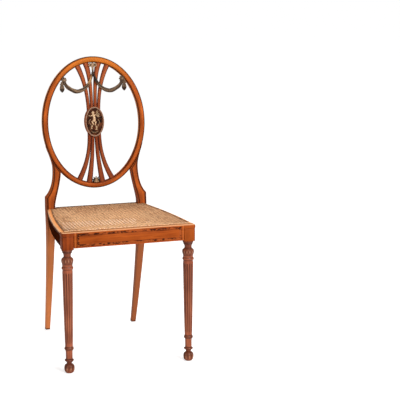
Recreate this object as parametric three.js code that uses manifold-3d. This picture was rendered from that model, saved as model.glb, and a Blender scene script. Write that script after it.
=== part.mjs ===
// A dining chair with an oval open back, a caned seat, turned and fluted front legs
// and swept back legs. Millimetres, +Z up, the front faces -Y, the floor is z = 0.
import * as THREE from "three";
import { mergeVertices } from "three/addons/utils/BufferGeometryUtils.js";
import Module from "manifold-3d";

const wasm = await Module();
wasm.setup();

// Fits
const GAP = 0.3; // clearance between touching pieces
const OVERRUN = 10; // how far a cutting solid runs past the piece it cuts

// Seat, seen from above; the rails' front face lies just behind y = 0
const SEAT_HEIGHT = 440;
const SEAT_FRONT_HALF = 212;
const SEAT_BACK_HALF = 169;
const SEAT_SIDE_BOW = 8.3;
const SEAT_CORNER_RADIUS = 7;
const FRAME_THICKNESS = 12;
const FRAME_ROUND = 5.5;
const FRAME_OVERHANG = 3;
const FRAME_FRONT_WIDTH = 31;
const FRAME_SIDE_WIDTH = 24;
const FRAME_BACK_WIDTH = 26;
const SIDE_STEPS = 12;

// Rails under the seat frame
const RAIL_DEPTH = 36;
const FRONT_RAIL_THICKNESS = 24;
const SIDE_RAIL_THICKNESS = 22;
const BACK_RAIL_THICKNESS = 22;
const TENON_THICKNESS = 8;
const TENON_SHOULDER = 6;
const TENON_LENGTH = 11;
const TENONS_APART = 2.5; // wood between the two tenons in a back leg

// Corner braces behind the legs
const BRACE_HEIGHT = 20;
const BRACE_WIDTH = 22;
const BRACE_CLEARANCE = 6; // how far a brace runs past the leg's inner corner, each way

// Front legs: square block, turned collars, fluted shaft, turned ankle and ball foot
const BLOCK_SIZE = 36;
const BLOCK_CORNER = 4;
const BLOCK_DROP = 4; // how far the block reaches below the rails
const BLOCK_INSET = 1.5; // from the seat frame's edge to the block's face
const COLLAR_HEIGHT = 74;
const COLLAR_RADIUS = 18.8;
const COLLAR_NECK = 16.5;
const ANKLE_HEIGHT = 88;
const FOOT_RADIUS = 16.2;
const SHAFT_TOP_RADIUS = 16;
const SHAFT_BOTTOM_RADIUS = 11.8;
const FLUTES = 12;
const FLUTE_DEPTH = 1.7;
const FLUTE_STOP = 7; // plain length at each end of the shaft
const TURNING_SEGMENTS = 16;

// Back legs, each one piece with the post above the seat
const LEG_FRONT_Y = 394; // front face of the back leg at the seat
const LEG_DEPTH_SEAT = 35;
const LEG_DEPTH_FOOT = 18;
const LEG_WIDTH_SEAT = 28;
const LEG_WIDTH_FOOT = 14.8;
const LEG_PROUD = 1.5; // its outer face beyond the seat's edge
const LEG_DRAW_IN = 10.4; // from the outer face at the seat in to the foot's
const LEG_SWEEP = 103.5; // how far the foot stands behind the leg at the seat
const LEG_STEPS = 12;
const BACK_LEAN = THREE.MathUtils.degToRad(4.3);

// Post above the seat, seen from the front; heights are along the back
const SHOULDER_HEIGHT = 38; // above the seat
const WAIST_RISE = 67.7; // above the hoop's lowest point
const WAIST_WIDTH = 17.5; // from the hoop's edge out to the waist
const CROTCH_DROP = 9; // below the waist
const POST_FLARE = 75; // from the waist up to the post's tip
const POST_THINNING_HEIGHT = 100; // where the post has thinned to the hoop's depth
const POST_STEPS = 9;

// Oval hoop of the back
const HOOP_RISE = 62.3; // from the seat to its lowest point
const HOOP_HALF_WIDTH = 173.7;
const HOOP_HALF_HEIGHT = 216.9;
const HOOP_BAND = 19.5;
const HOOP_INNER_DROP = 1; // the opening sits a little low, so the crest is widest
const HOOP_DEPTH = 20;
const HOOP_CROWN = 4.5;
const HOOP_STEPS = 18;
const HOOP_JOINT = THREE.MathUtils.degToRad(48); // where the side pieces meet crest and foot
const HOOP_TENON_LENGTH = 12;
const HOOP_TENON_WIDTH = 7;
const HOOP_TENON_DEPTH = 9;

// Splat bars between hoop and medallion
const BAR_RECESS = 3.5; // bar front behind the hoop front
const BAR_DEPTH = 9;
const BAR_HOOP_WIDTH = 16.8;
const BAR_MIDDLE_WIDTH = 8.4; // where it meets the medallion
const BAR_CHAMFER = 1.4;
const BAR_STEPS = 10;
const BAR_TENON_LENGTH = 4;
const BAR_TENON_SHOULDER = 1.5;

// Oval medallion
const MEDALLION_RISE = 2.5; // its centre above the hoop's centre
const MEDALLION_HALF_WIDTH = 32.4;
const MEDALLION_HALF_HEIGHT = 49.8;
const MEDALLION_DEPTH = 20;
const MEDALLION_PROUD = 6; // its front before the hoop front
const MEDALLION_RIM = 5;
const MEDALLION_EDGE = 1.2;
const PANEL_RECESS = 4.5;
const PANEL_THICKNESS = 2;
const PANEL_DOME = 1;
const OVAL_STEPS = 32;

// Carved garland hung across the upper bars, measured down from the opening's top
const ROSETTE_INSET = 56.2; // its middle inside the opening's widest point
const KNOT_DROP = 32.6;
const SWAG_SAG = 48; // how far the swag hangs below the line from knot to rosette
const SWAG_FULL = 7.3; // half thickness at the belly
const SWAG_STEPS = 26;
const SWAG_SIDES = 9;
const SWAG_LOBES = 3;
const SWAG_LOBE_SHARE = 0.1;
const SWAG_TURNS = 3;
const ROSETTE_RADIUS = 9.5;
const ROSETTE_DROP = 9.6; // its middle below the opening's edge
const ROSETTE_DEPTH = 9;
const ROSETTE_BEHIND = 3.5; // how far the rosette reaches behind the hoop front
const ROSETTE_PETALS = 8;
const TASSEL_LENGTH = 31;
const TASSEL_RADIUS = 7;
const TASSEL_SIDES = 10;
const TASSEL_OUTSET = 7; // the tassel hangs a little outside the rosette's middle
const BOW_DROP = 7.6;
const BOW_LOOP_LENGTH = 12;
const BOW_LOOP_HEIGHT = 5;
const BOW_DEPTH = 7;
const KNOT_RADIUS = 3.6;
const ROUND_STEPS = 24;
const RIBBON_WIDTH = 4;
const SHELL_HALF_WIDTH = 11.2;
const SHELL_HEIGHT = 20;
const SHELL_DEPTH = 9;
const SHELL_RIBS = 7;
const SHELL_STEPS = 28;

// Cane: a flat net with square gaps, dished a little, and the binding round its edge
const CANE_THICKNESS = 1.6;
const CANE_FRONT_INSET = 17;
const CANE_SIDE_INSET = 11;
const CANE_BACK_INSET = 14;
const CANE_POST_CLEARANCE = 1.5;
const CANE_BORDER = 7;
const CANE_ROWS = 16;
const CANE_WEB = 7.6;
const CANE_DISH = 5;
const CANE_SLOPE = 70;
const BINDING_WIDTH = 5;
const BINDING_HEIGHT = 1.3;

// Places that follow from the sizes above
const railTop = SEAT_HEIGHT - FRAME_THICKNESS - GAP;
const railBottom = railTop - RAIL_DEPTH;
const tenonTop = railTop - TENON_SHOULDER;
const tenonBottom = railBottom + TENON_SHOULDER;
const blockBottom = railBottom - BLOCK_DROP;
const blockCentreX = SEAT_FRONT_HALF - BLOCK_INSET - BLOCK_SIZE / 2;
const blockCentreY = BLOCK_INSET + BLOCK_SIZE / 2;
const blockInnerX = blockCentreX - BLOCK_SIZE / 2;
const blockBackY = blockCentreY + BLOCK_SIZE / 2;
const collarBase = blockBottom - COLLAR_HEIGHT;
const legOuterSeat = SEAT_BACK_HALF + LEG_PROUD;
const legInnerSeat = legOuterSeat - LEG_WIDTH_SEAT;
const legOuterFoot = legOuterSeat - LEG_DRAW_IN;
const legInnerFoot = legOuterFoot - LEG_WIDTH_FOOT;
const legCentreY = LEG_FRONT_Y + LEG_DEPTH_SEAT / 2;
const legBackY = LEG_FRONT_Y + LEG_DEPTH_SEAT;
const footBackY = legCentreY + LEG_SWEEP + LEG_DEPTH_FOOT / 2;
const seatBackY = legBackY - FRAME_OVERHANG;
const frontRailY = BLOCK_INSET + FRONT_RAIL_THICKNESS / 2;
const backRailY = legCentreY;
const frontY = Math.min(0, blockCentreY - COLLAR_RADIUS);
const middleY = (frontY + footBackY) / 2;
const innerHalfWidth = HOOP_HALF_WIDTH - HOOP_BAND;
const innerHalfHeight = HOOP_HALF_HEIGHT - HOOP_BAND;
const hoopCentre = HOOP_RISE + HOOP_HALF_HEIGHT;
const innerCentre = hoopCentre - HOOP_INNER_DROP;
const medallionCentre = hoopCentre + MEDALLION_RISE;
const waistHeight = HOOP_RISE + WAIST_RISE;
const crotchHeight = waistHeight - CROTCH_DROP;
const postTop = waistHeight + POST_FLARE;
const waistHalf = hoopEdge(waistHeight, 0) + WAIST_WIDTH;
const crotchHalf = hoopEdge(crotchHeight, 0);
const openingTop = innerCentre + innerHalfHeight;
const swagSpan = innerHalfWidth - ROSETTE_INSET; // from the middle to the rosette
const knotZ = openingTop - KNOT_DROP;
const bowZ = openingTop - BOW_DROP;
const rosetteZ = openingEdge(swagSpan) - ROSETTE_DROP;
const caneZ = SEAT_HEIGHT + GAP;

const wood = { color: 0xb5602c, roughness: 0.3, metalness: 0 };
const legWood = { color: 0x9a5232, roughness: 0.32, metalness: 0 };
const innerWood = { color: 0xa9764a, roughness: 0.7, metalness: 0 };
const painted = { color: 0x8b8067, roughness: 0.5, metalness: 0 };
const ground = { color: 0x2c150c, roughness: 0.35, metalness: 0 };
const caneStraw = { color: 0xc99a6c, roughness: 0.6, metalness: 0 };

// The back leans as one group, whose own frame has x across, y deep and z up the back
const chair = new THREE.Group();
chair.position.y = -middleY;
const back = new THREE.Group();
back.position.set(0, LEG_FRONT_Y, SEAT_HEIGHT);
back.rotation.x = -BACK_LEAN;
back.updateMatrix();
chair.add(back);

const { lerp } = THREE.MathUtils;

// Height of the opening's upper edge at a distance from the middle
function openingEdge(x) {
  const across = x / innerHalfWidth;
  return innerCentre + innerHalfHeight * Math.sqrt(1 - across * across);
}

// Half width of the hoop's outer oval, drawn in by some amount, at a height up the back
function hoopEdge(s, drawnIn) {
  const climb = (s - hoopCentre) / (HOOP_HALF_HEIGHT - drawnIn);
  return (HOOP_HALF_WIDTH - drawnIn) * Math.sqrt(1 - climb * climb);
}

// Evenly spaced values from one end to the other
function spaced(from, to, steps) {
  return Array.from({ length: steps + 1 }, (_, i) => lerp(from, to, i / steps));
}

// A value read off a table of [place, value] rows
function readOff(rows, place) {
  const next = rows.findIndex(([p]) => p >= place);
  if (next <= 0) {
    return rows[next === 0 ? 0 : rows.length - 1][1];
  }
  const [p0, v0] = rows[next - 1];
  const [p1, v1] = rows[next];
  return lerp(v0, v1, (place - p0) / (p1 - p0));
}

// A closed geometry as a solid that can be joined and cut
function solidOf(geometry) {
  const bare = geometry.clone();
  bare.deleteAttribute("normal");
  bare.deleteAttribute("uv");
  const merged = mergeVertices(bare);
  return new wasm.Manifold(
    new wasm.Mesh({
      numProp: 3,
      vertProperties: new Float32Array(merged.attributes.position.array),
      triVerts: new Uint32Array(merged.index.array),
    }),
  );
}

function geometryOf(solid) {
  const { vertProperties, triVerts } = solid.getMesh();
  const geometry = new THREE.BufferGeometry();
  geometry.setAttribute("position", new THREE.BufferAttribute(vertProperties, 3));
  geometry.setIndex(new THREE.BufferAttribute(triVerts, 1));
  return geometry;
}

function addPiece(parent, name, solid, look) {
  const flat = geometryOf(solid).toNonIndexed();
  flat.computeVertexNormals();
  const mesh = new THREE.Mesh(flat, new THREE.MeshStandardMaterial(look));
  mesh.name = name;
  parent.add(mesh);
}

// Adds a solid made for the right-hand side and its left-hand twin
function addPair(parent, name, solid, look) {
  addPiece(parent, "right_" + name, solid, look);
  addPiece(parent, "left_" + name, mirrored(solid), look);
}

function mirrored(solid) {
  return solid.mirror([1, 0, 0]);
}

// A box between two corners
function box(x0, x1, y0, y1, z0, z1) {
  const geometry = new THREE.BoxGeometry(x1 - x0, y1 - y0, z1 - z0);
  return solidOf(geometry.translate((x0 + x1) / 2, (y0 + y1) / 2, (z0 + z1) / 2));
}

// A flat outline of [x, y] places raised between two heights
function raised(outline, z0, z1) {
  const shape = new THREE.Shape(outline.map(([x, y]) => new THREE.Vector2(x, y)));
  const geometry = new THREE.ExtrudeGeometry(shape, { depth: z1 - z0, bevelEnabled: false });
  return geometry.translate(0, 0, z0);
}

// The triangles that close a flat ring of points, facing along the ring's own normal
function endFace(ring) {
  const normal = new THREE.Vector3();
  ring.forEach((p, i) => normal.add(p.clone().cross(ring[(i + 1) % ring.length])));
  const turn = new THREE.Quaternion().setFromUnitVectors(
    normal.normalize(),
    new THREE.Vector3(0, 0, 1),
  );
  const flat = ring.map((p) => p.clone().sub(ring[0]).applyQuaternion(turn));
  return THREE.ShapeUtils.triangulateShape(flat.map((p) => new THREE.Vector2(p.x, p.y)), []);
}

// A closed body through rings of equal count, each a list of points, with flat ends
function loft(rings) {
  const count = rings[0].length;
  const last = (rings.length - 1) * count;
  const faces = [];
  for (let r = 0; r < last; r += count) {
    for (let i = 0; i < count; i++) {
      const j = (i + 1) % count;
      faces.push([r + i, r + j, r + count + j], [r + i, r + count + j, r + count + i]);
    }
  }
  for (const [a, b, c] of endFace(rings[0])) {
    faces.push([c, b, a]);
  }
  for (const [a, b, c] of endFace(rings.at(-1))) {
    faces.push([last + a, last + b, last + c]);
  }
  const points = rings.flat();
  const spread = (face) => points[face[0]].clone().cross(points[face[1]]).dot(points[face[2]]);
  const volume = faces.reduce((sum, face) => sum + spread(face), 0);
  const outward = volume > 0 ? faces : faces.map(([a, b, c]) => [c, b, a]);
  const geometry = new THREE.BufferGeometry().setFromPoints(points);
  geometry.setIndex(outward.flat());
  return solidOf(geometry);
}

// Points along a cubic curve, without its first point
function bend(p0, p1, p2, p3, steps) {
  const corners = [p0, p1, p2, p3].map(([x, y]) => new THREE.Vector2(x, y));
  const points = new THREE.CubicBezierCurve(...corners).getPoints(steps);
  return points.slice(1).map((p) => [p.x, p.y]);
}

// Half width of the seat's outer edge at a distance from its front
function seatHalf(y) {
  const share = y / LEG_FRONT_Y;
  return lerp(SEAT_FRONT_HALF, SEAT_BACK_HALF, share) + SEAT_SIDE_BOW * 4 * share * (1 - share);
}

// How the seat frame's rounded edge draws in: share of its thickness, share of its rounding
const edgeShares = [
  [0, 0.25],
  [0.2, 0],
  [0.5, 0],
  [0.72, 0.12],
  [0.9, 0.45],
  [1, 1],
];

// One member of the seat frame from its outer edge [x, y, normal x, normal y] and inner edge
function frameMember(outer, inner) {
  const rings = edgeShares.map(([rise, draw]) => {
    const z = SEAT_HEIGHT - FRAME_THICKNESS + rise * FRAME_THICKNESS;
    const inset = draw * FRAME_ROUND;
    const edge = outer.map(([x, y, nx, ny]) => [x - nx * inset, y - ny * inset]);
    return [...edge, ...inner].map(([x, y]) => new THREE.Vector3(x, y, z));
  });
  return loft(rings);
}

function buildSeatFrame() {
  const radius = SEAT_CORNER_RADIUS;
  const corner = spaced(0, Math.PI / 2, 4).map((angle) => {
    const nx = Math.sin(angle);
    const ny = -Math.cos(angle);
    return [SEAT_FRONT_HALF - radius + nx * radius, radius + ny * radius, nx, ny];
  });
  const right = [...corner, [seatHalf(FRAME_FRONT_WIDTH), FRAME_FRONT_WIDTH, 1, 0]];
  const left = right.map(([x, y, nx, ny]) => [-x, y, -nx, ny]).reverse();
  addPiece(chair, "front_seat_frame", frameMember([...left, ...right], []), wood);

  const sideYs = spaced(FRAME_FRONT_WIDTH + GAP, LEG_FRONT_Y - GAP, SIDE_STEPS);
  const outer = sideYs.map((y) => [seatHalf(y), y, 1, 0]);
  const inner = sideYs.map((y) => [seatHalf(y) - FRAME_SIDE_WIDTH, y]).reverse();
  addPair(chair, "seat_frame", frameMember(outer, inner), wood);

  const backHalf = legInnerSeat - GAP;
  const rear = [backHalf, -backHalf].map((x) => [x, seatBackY, 0, 1]);
  const fore = [-backHalf, backHalf].map((x) => [x, seatBackY - FRAME_BACK_WIDTH]);
  addPiece(chair, "back_seat_frame", frameMember(rear, fore), wood);
}

// Middle of a side rail's thickness at a distance from the front
function sideRailX(y) {
  return seatHalf(y) - FRAME_OVERHANG - SIDE_RAIL_THICKNESS / 2;
}

// A right-hand tenon or, grown by the clearance, the mortise for it
function tenonAcross(x0, x1, y, grow) {
  const half = TENON_THICKNESS / 2 + grow;
  return box(x0, x1 + grow, y - half, y + half, tenonBottom - grow, tenonTop + grow);
}

function tenonAlong(y0, y1, x, grow) {
  const half = TENON_THICKNESS / 2 + grow;
  return box(x - half, x + half, y0, y1, tenonBottom - grow, tenonTop + grow);
}

function frontRailTenon(grow) {
  const start = blockInnerX - GAP - OVERRUN;
  return tenonAcross(start, blockInnerX + TENON_LENGTH, frontRailY, grow);
}

function backRailTenon(grow) {
  const start = legInnerSeat - GAP - OVERRUN;
  return tenonAcross(start, legInnerSeat + TENON_LENGTH, backRailY, grow);
}

function sideRailFrontTenon(grow) {
  const start = blockBackY - TENON_LENGTH - grow;
  return tenonAlong(start, blockBackY + GAP + OVERRUN, sideRailX(blockBackY), grow);
}

function sideRailBackTenon(grow) {
  const end = backRailY - TENON_THICKNESS / 2 - TENONS_APART + grow;
  return tenonAlong(LEG_FRONT_Y - GAP - OVERRUN, end, sideRailX(LEG_FRONT_Y), grow);
}

function crossRail(half, y, thickness, tenon) {
  const y0 = y - thickness / 2;
  const body = box(-half, half, y0, y0 + thickness, railBottom, railTop);
  return body.add(tenon).add(mirrored(tenon));
}

function buildRails() {
  const front = crossRail(blockInnerX - GAP, frontRailY, FRONT_RAIL_THICKNESS, frontRailTenon(0));
  addPiece(chair, "front_seat_rail", front, wood);
  const rear = crossRail(legInnerSeat - GAP, backRailY, BACK_RAIL_THICKNESS, backRailTenon(0));
  addPiece(chair, "back_seat_rail", rear, wood);

  const half = SIDE_RAIL_THICKNESS / 2;
  const rings = spaced(blockBackY + GAP, LEG_FRONT_Y - GAP, SIDE_STEPS).map((y) => [
    new THREE.Vector3(sideRailX(y) - half, y, railBottom),
    new THREE.Vector3(sideRailX(y) + half, y, railBottom),
    new THREE.Vector3(sideRailX(y) + half, y, railTop),
    new THREE.Vector3(sideRailX(y) - half, y, railTop),
  ]);
  const side = loft(rings).add(sideRailFrontTenon(0)).add(sideRailBackTenon(0));
  addPair(chair, "side_rail", side, wood);
}

// A brace from the cross rail's face at faceY to the side rail, past the leg's inner
// corner [legX, legY]; away is its way along y
function cornerBrace(faceY, legX, legY, away) {
  const sideX = (y) => sideRailX(y) - SIDE_RAIL_THICKNESS / 2 - GAP;
  const near = away * (legY - faceY) + Math.max(0, sideX(faceY) - legX) + BRACE_CLEARANCE;
  const nearY = faceY + away * near;
  const farY = nearY + away * BRACE_WIDTH;
  const outerX = sideX(faceY) - near;
  const outline = [
    [outerX - BRACE_WIDTH, faceY],
    [outerX, faceY],
    [sideX(nearY), nearY],
    [sideX(farY), farY],
  ];
  const z0 = (railTop + railBottom - BRACE_HEIGHT) / 2;
  return solidOf(raised(outline, z0, z0 + BRACE_HEIGHT));
}

function buildCornerBraces() {
  const frontFaceY = frontRailY + FRONT_RAIL_THICKNESS / 2 + GAP;
  const backFaceY = backRailY - BACK_RAIL_THICKNESS / 2 - GAP;
  const front = cornerBrace(frontFaceY, blockInnerX, blockBackY, 1);
  addPair(chair, "front_corner_brace", front, innerWood);
  const rear = cornerBrace(backFaceY, legInnerSeat, LEG_FRONT_Y, -1);
  addPair(chair, "back_corner_brace", rear, innerWood);
}

// Turned profiles of the front leg: shares of the largest radius and of the height
const collarShares = [
  [0.84, 0.055],
  [0.78, 0.09],
  [0.79, 0.13],
  [0.95, 0.18],
  [0.97, 0.225],
  [0.92, 0.265],
  [0.8, 0.285],
  [0.8, 0.345],
  [0.89, 0.39],
  [0.97, 0.455],
  [1, 0.52],
  [0.92, 0.575],
  [0.71, 0.61],
  [0.58, 0.64],
  [0.575, 0.75],
  [0.61, 0.8],
  [0.76, 0.83],
  [0.81, 0.88],
  [0.78, 0.925],
  [0.88, 0.96],
];
const ankleShares = [
  [0.62, 0],
  [0.78, 0.03],
  [0.94, 0.08],
  [1, 0.18],
  [0.92, 0.26],
  [0.65, 0.31],
  [0.44, 0.345],
  [0.47, 0.39],
  [0.8, 0.43],
  [0.87, 0.455],
  [0.81, 0.48],
  [0.62, 0.5],
  [0.61, 0.76],
  [0.66, 0.81],
  [0.87, 0.855],
  [0.89, 0.88],
  [0.84, 0.905],
  [0.7, 0.935],
];

// A turned solid from z = base up, ending at the radius above
function turned(shares, radius, height, base, radiusAbove) {
  const profile = shares.map(([r, z]) => new THREE.Vector2(r * radius, z * height));
  const start = new THREE.Vector2(0, profile[0].y);
  const end = [new THREE.Vector2(radiusAbove, height), new THREE.Vector2(0, height)];
  const geometry = new THREE.LatheGeometry([start, ...profile, ...end], TURNING_SEGMENTS);
  return solidOf(geometry.rotateX(Math.PI / 2).translate(0, 0, base));
}

// One flute: shares of its pitch round the shaft, and of its depth
const fluteShares = [
  [-0.36, 0],
  [0, 1],
  [0.36, 0],
];

// The shaft, with hollows between narrow flats that stop short of both ends
function flutedShaft(z0, z1) {
  const stop = FLUTE_STOP / (z1 - z0);
  const rises = [0, stop, 2 * stop, 0.35, 0.65, 1 - 2 * stop, 1 - stop, 1];
  const rings = rises.map((rise, k) => {
    const radius = lerp(SHAFT_BOTTOM_RADIUS, SHAFT_TOP_RADIUS, Math.pow(rise, 0.8));
    const isFluted = k > 1 && k < rises.length - 2;
    const z = lerp(z0, z1, rise);
    const flutes = Array.from({ length: FLUTES }, (_, i) =>
      fluteShares.map(([turn, depth]) => {
        const angle = ((i + turn) / FLUTES) * 2 * Math.PI;
        const r = isFluted ? radius - depth * FLUTE_DEPTH : radius;
        return new THREE.Vector3(r * Math.cos(angle), r * Math.sin(angle), z);
      }),
    );
    return flutes.flat();
  });
  return loft(rings);
}

// The square block at the top of the leg, with rounded upright corners
function legBlock() {
  const half = BLOCK_SIZE / 2;
  const flat = half - BLOCK_CORNER;
  const quarter = Math.PI / 2;
  const corners = [
    [flat, flat],
    [-flat, flat],
    [-flat, -flat],
    [flat, -flat],
  ];
  const outline = corners.flatMap(([x, y], k) =>
    spaced(k * quarter, (k + 1) * quarter, 3).map((angle) => [
      x + BLOCK_CORNER * Math.cos(angle),
      y + BLOCK_CORNER * Math.sin(angle),
    ]),
  );
  return solidOf(raised(outline, blockBottom, railTop));
}

function buildFrontLegs() {
  const collars = turned(
    [[SHAFT_TOP_RADIUS / COLLAR_RADIUS, 0], ...collarShares],
    COLLAR_RADIUS,
    COLLAR_HEIGHT + GAP,
    collarBase,
    COLLAR_NECK,
  );
  const ankle = turned(ankleShares, FOOT_RADIUS, ANKLE_HEIGHT, 0, SHAFT_BOTTOM_RADIUS);
  const leg = legBlock()
    .add(collars)
    .add(flutedShaft(ANKLE_HEIGHT - GAP, collarBase + GAP))
    .add(ankle)
    .translate([blockCentreX, blockCentreY, 0])
    .subtract(frontRailTenon(GAP))
    .subtract(sideRailFrontTenon(GAP));
  addPair(chair, "front_leg", leg, legWood);
}

// A place on the back as the front view sees it
function seenFromFront(x, s) {
  return [x, SEAT_HEIGHT + s * Math.cos(BACK_LEAN)];
}

// The post's outer line: out to the shoulder, in to the waist and out along the hoop
function postOuterLine() {
  const reach = legOuterSeat - waistHalf;
  const rise = waistHeight - SHOULDER_HEIGHT;
  const tipX = hoopEdge(postTop, 0);
  const shoulder = seenFromFront(legOuterSeat, SHOULDER_HEIGHT);
  const waist = seenFromFront(waistHalf, waistHeight);
  const tip = seenFromFront(tipX, postTop);
  const hollow = bend(
    shoulder,
    seenFromFront(waistHalf + 0.27 * reach, SHOULDER_HEIGHT + 0.21 * rise),
    seenFromFront(waistHalf, waistHeight - 0.41 * rise),
    waist,
    POST_STEPS,
  );
  const flaring = bend(
    waist,
    seenFromFront(waistHalf, waistHeight + 0.3 * POST_FLARE),
    seenFromFront(lerp(tipX, waistHalf, 0.45), postTop - 0.4 * POST_FLARE),
    tip,
    POST_STEPS,
  );
  return [shoulder, ...hollow, ...flaring];
}

// The post's inner line, from the crotch on the hoop down to the seat
function postInnerLine() {
  const tuck = legInnerSeat - crotchHalf;
  const crotch = seenFromFront(crotchHalf, crotchHeight);
  const line = bend(
    crotch,
    seenFromFront(crotchHalf + 0.2 * tuck, 0.58 * crotchHeight),
    seenFromFront(legInnerSeat + 0.12 * tuck, 0.18 * crotchHeight),
    seenFromFront(legInnerSeat, 0),
    POST_STEPS,
  );
  return [crotch, ...line];
}

// The line inside the hoop's oval that closes the post from its tip to the crotch
function postHiddenLine() {
  const heights = spaced(postTop, crotchHeight, POST_STEPS);
  return heights.map((s) => seenFromFront(hoopEdge(s, HOOP_BAND / 2), s));
}

function legFrontOutline() {
  return [
    [legOuterFoot, 0],
    [legOuterSeat, SEAT_HEIGHT],
    ...postOuterLine(),
    ...postHiddenLine(),
    ...postInnerLine(),
    [legInnerSeat, railBottom],
    [lerp(legInnerFoot, legInnerSeat, 0.3), 0.75 * railBottom],
    [legInnerFoot, 0],
  ];
}

// The side view: swept back below the rails, upright at the seat and leaning above it
function legSideOutline() {
  const below = spaced(0, railBottom, LEG_STEPS).map((z) => {
    const share = 1 - z / railBottom;
    const y = legCentreY + LEG_SWEEP * Math.pow(share, 1.3);
    const half = lerp(LEG_DEPTH_SEAT, LEG_DEPTH_FOOT, Math.pow(share, 0.8)) / 2;
    return { front: [y - half, z], rear: [y + half, z] };
  });
  const postDepth = HOOP_DEPTH / Math.cos(BACK_LEAN);
  const frontAt = (s) => [LEG_FRONT_Y + s * Math.tan(BACK_LEAN), SEAT_HEIGHT + s];
  const rearAt = (s) => [LEG_FRONT_Y + s * Math.tan(BACK_LEAN) + postDepth, SEAT_HEIGHT + s];
  const thin = POST_THINNING_HEIGHT;
  const thinning = bend(
    rearAt(thin),
    rearAt(0.6 * thin),
    [legBackY, SEAT_HEIGHT + 0.3 * thin],
    [legBackY, SEAT_HEIGHT],
    POST_STEPS,
  );
  const top = postTop + OVERRUN;
  const above = [frontAt(0), frontAt(top), rearAt(top), rearAt(thin), ...thinning];
  const rear = below.map((place) => place.rear).reverse();
  return [...below.map((place) => place.front), ...above, ...rear];
}

// An oval disc in the back's frame, between two depths
function ovalDisc(halfWidth, halfHeight, centre, near, far) {
  const outline = spaced(0, 2 * Math.PI, 6 * HOOP_STEPS)
    .slice(1)
    .map((angle) => [halfWidth * Math.cos(angle), centre + halfHeight * Math.sin(angle)]);
  const geometry = raised(outline, 0, far - near);
  return solidOf(geometry.rotateX(Math.PI / 2).translate(0, far, 0));
}

// A disc that fills the hoop's opening, grown or, with less than zero, shrunk
function openingDisc(grow) {
  const halfWidth = innerHalfWidth + grow;
  const halfHeight = innerHalfHeight + grow;
  return ovalDisc(halfWidth, halfHeight, innerCentre, -OVERRUN, HOOP_DEPTH + OVERRUN);
}

// All that lies outside the hoop's opening, behind the hoop's front face
function aroundOpening() {
  const wide = HOOP_HALF_WIDTH + OVERRUN;
  const high = HOOP_HALF_HEIGHT + OVERRUN;
  const slab = ovalDisc(wide, high, hoopCentre, -GAP, HOOP_DEPTH);
  return slab.subtract(openingDisc(-GAP));
}

function buildBackLegs() {
  const deepest = footBackY + OVERRUN;
  const wide = raised(legFrontOutline(), 0, deepest);
  wide.rotateX(Math.PI / 2).translate(0, deepest, 0);
  const deep = raised(legSideOutline(), 0, legOuterSeat + OVERRUN);
  deep.rotateX(Math.PI / 2).rotateZ(Math.PI / 2);
  const hoopSeat = ovalDisc(
    HOOP_HALF_WIDTH + GAP,
    HOOP_HALF_HEIGHT + GAP,
    hoopCentre,
    -OVERRUN,
    HOOP_DEPTH + OVERRUN,
  );
  const leg = solidOf(wide)
    .intersect(solidOf(deep))
    .subtract(hoopSeat.transform(back.matrix.elements))
    .subtract(sideRailBackTenon(GAP))
    .subtract(backRailTenon(GAP));
  addPair(chair, "back_leg", leg, wood);
}

// Section of the hoop: share across the band from the inside, share of the crown's rise
const hoopSectionShares = [
  [0, 0],
  [0.16, 0.66],
  [0.38, 1],
  [0.62, 1],
  [0.84, 0.66],
  [1, 0],
];

function hoopRing(angle) {
  const cos = Math.cos(angle);
  const sin = Math.sin(angle);
  const inner = new THREE.Vector2(innerHalfWidth * cos, innerCentre + innerHalfHeight * sin);
  const outer = new THREE.Vector2(HOOP_HALF_WIDTH * cos, hoopCentre + HOOP_HALF_HEIGHT * sin);
  const front = hoopSectionShares.map(([across, rise]) => {
    const place = inner.clone().lerp(outer, across);
    return new THREE.Vector3(place.x, HOOP_CROWN * (1 - rise), place.y);
  });
  const rear = [outer, inner].map((p) => new THREE.Vector3(p.x, HOOP_DEPTH, p.y));
  return [...front, ...rear];
}

function hoopArc(from, to) {
  const trim = GAP / 2 / HOOP_HALF_HEIGHT;
  return loft(spaced(from + trim, to - trim, HOOP_STEPS).map(hoopRing));
}

// The tongue between two hoop pieces or, grown, the mortise for it
function hoopTongue(angle, grow) {
  const alongX = -HOOP_HALF_WIDTH * Math.sin(angle);
  const alongZ = HOOP_HALF_HEIGHT * Math.cos(angle);
  const size = (length) => length + 2 * grow;
  const tongue = new THREE.BoxGeometry(
    size(2 * HOOP_TENON_LENGTH),
    size(HOOP_TENON_DEPTH),
    size(HOOP_TENON_WIDTH),
  );
  tongue.rotateY(-Math.atan2(alongZ, alongX));
  const middle = (outer, inner) => (outer + inner) / 2;
  const x = middle(HOOP_HALF_WIDTH, innerHalfWidth) * Math.cos(angle);
  const rise = middle(HOOP_HALF_HEIGHT, innerHalfHeight) * Math.sin(angle);
  const y = middle(HOOP_DEPTH, HOOP_CROWN);
  return solidOf(tongue.translate(x, y, middle(hoopCentre, innerCentre) + rise));
}

// Centre lines of the right-hand bars, from inside the hoop to inside the medallion,
// as shares of the medallion's half width and of the way from medallion to hoop
const barLineShares = {
  upper_outer_bar: [
    [1.75, 1.02],
    [1.08, 0.76],
    [0.58, 0.46],
    [0.53, -0.04],
  ],
  upper_inner_bar: [
    [0.73, 1.02],
    [0.34, 0.78],
    [0.25, 0.5],
    [0.2, -0.04],
  ],
  lower_outer_bar: [
    [1.97, 1.04],
    [0.74, 0.61],
    [0.53, 0.3],
    [0.53, -0.1],
  ],
  lower_inner_bar: [
    [0.71, 1.04],
    [0.34, 0.61],
    [0.2, 0.28],
    [0.2, -0.1],
  ],
};

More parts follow.
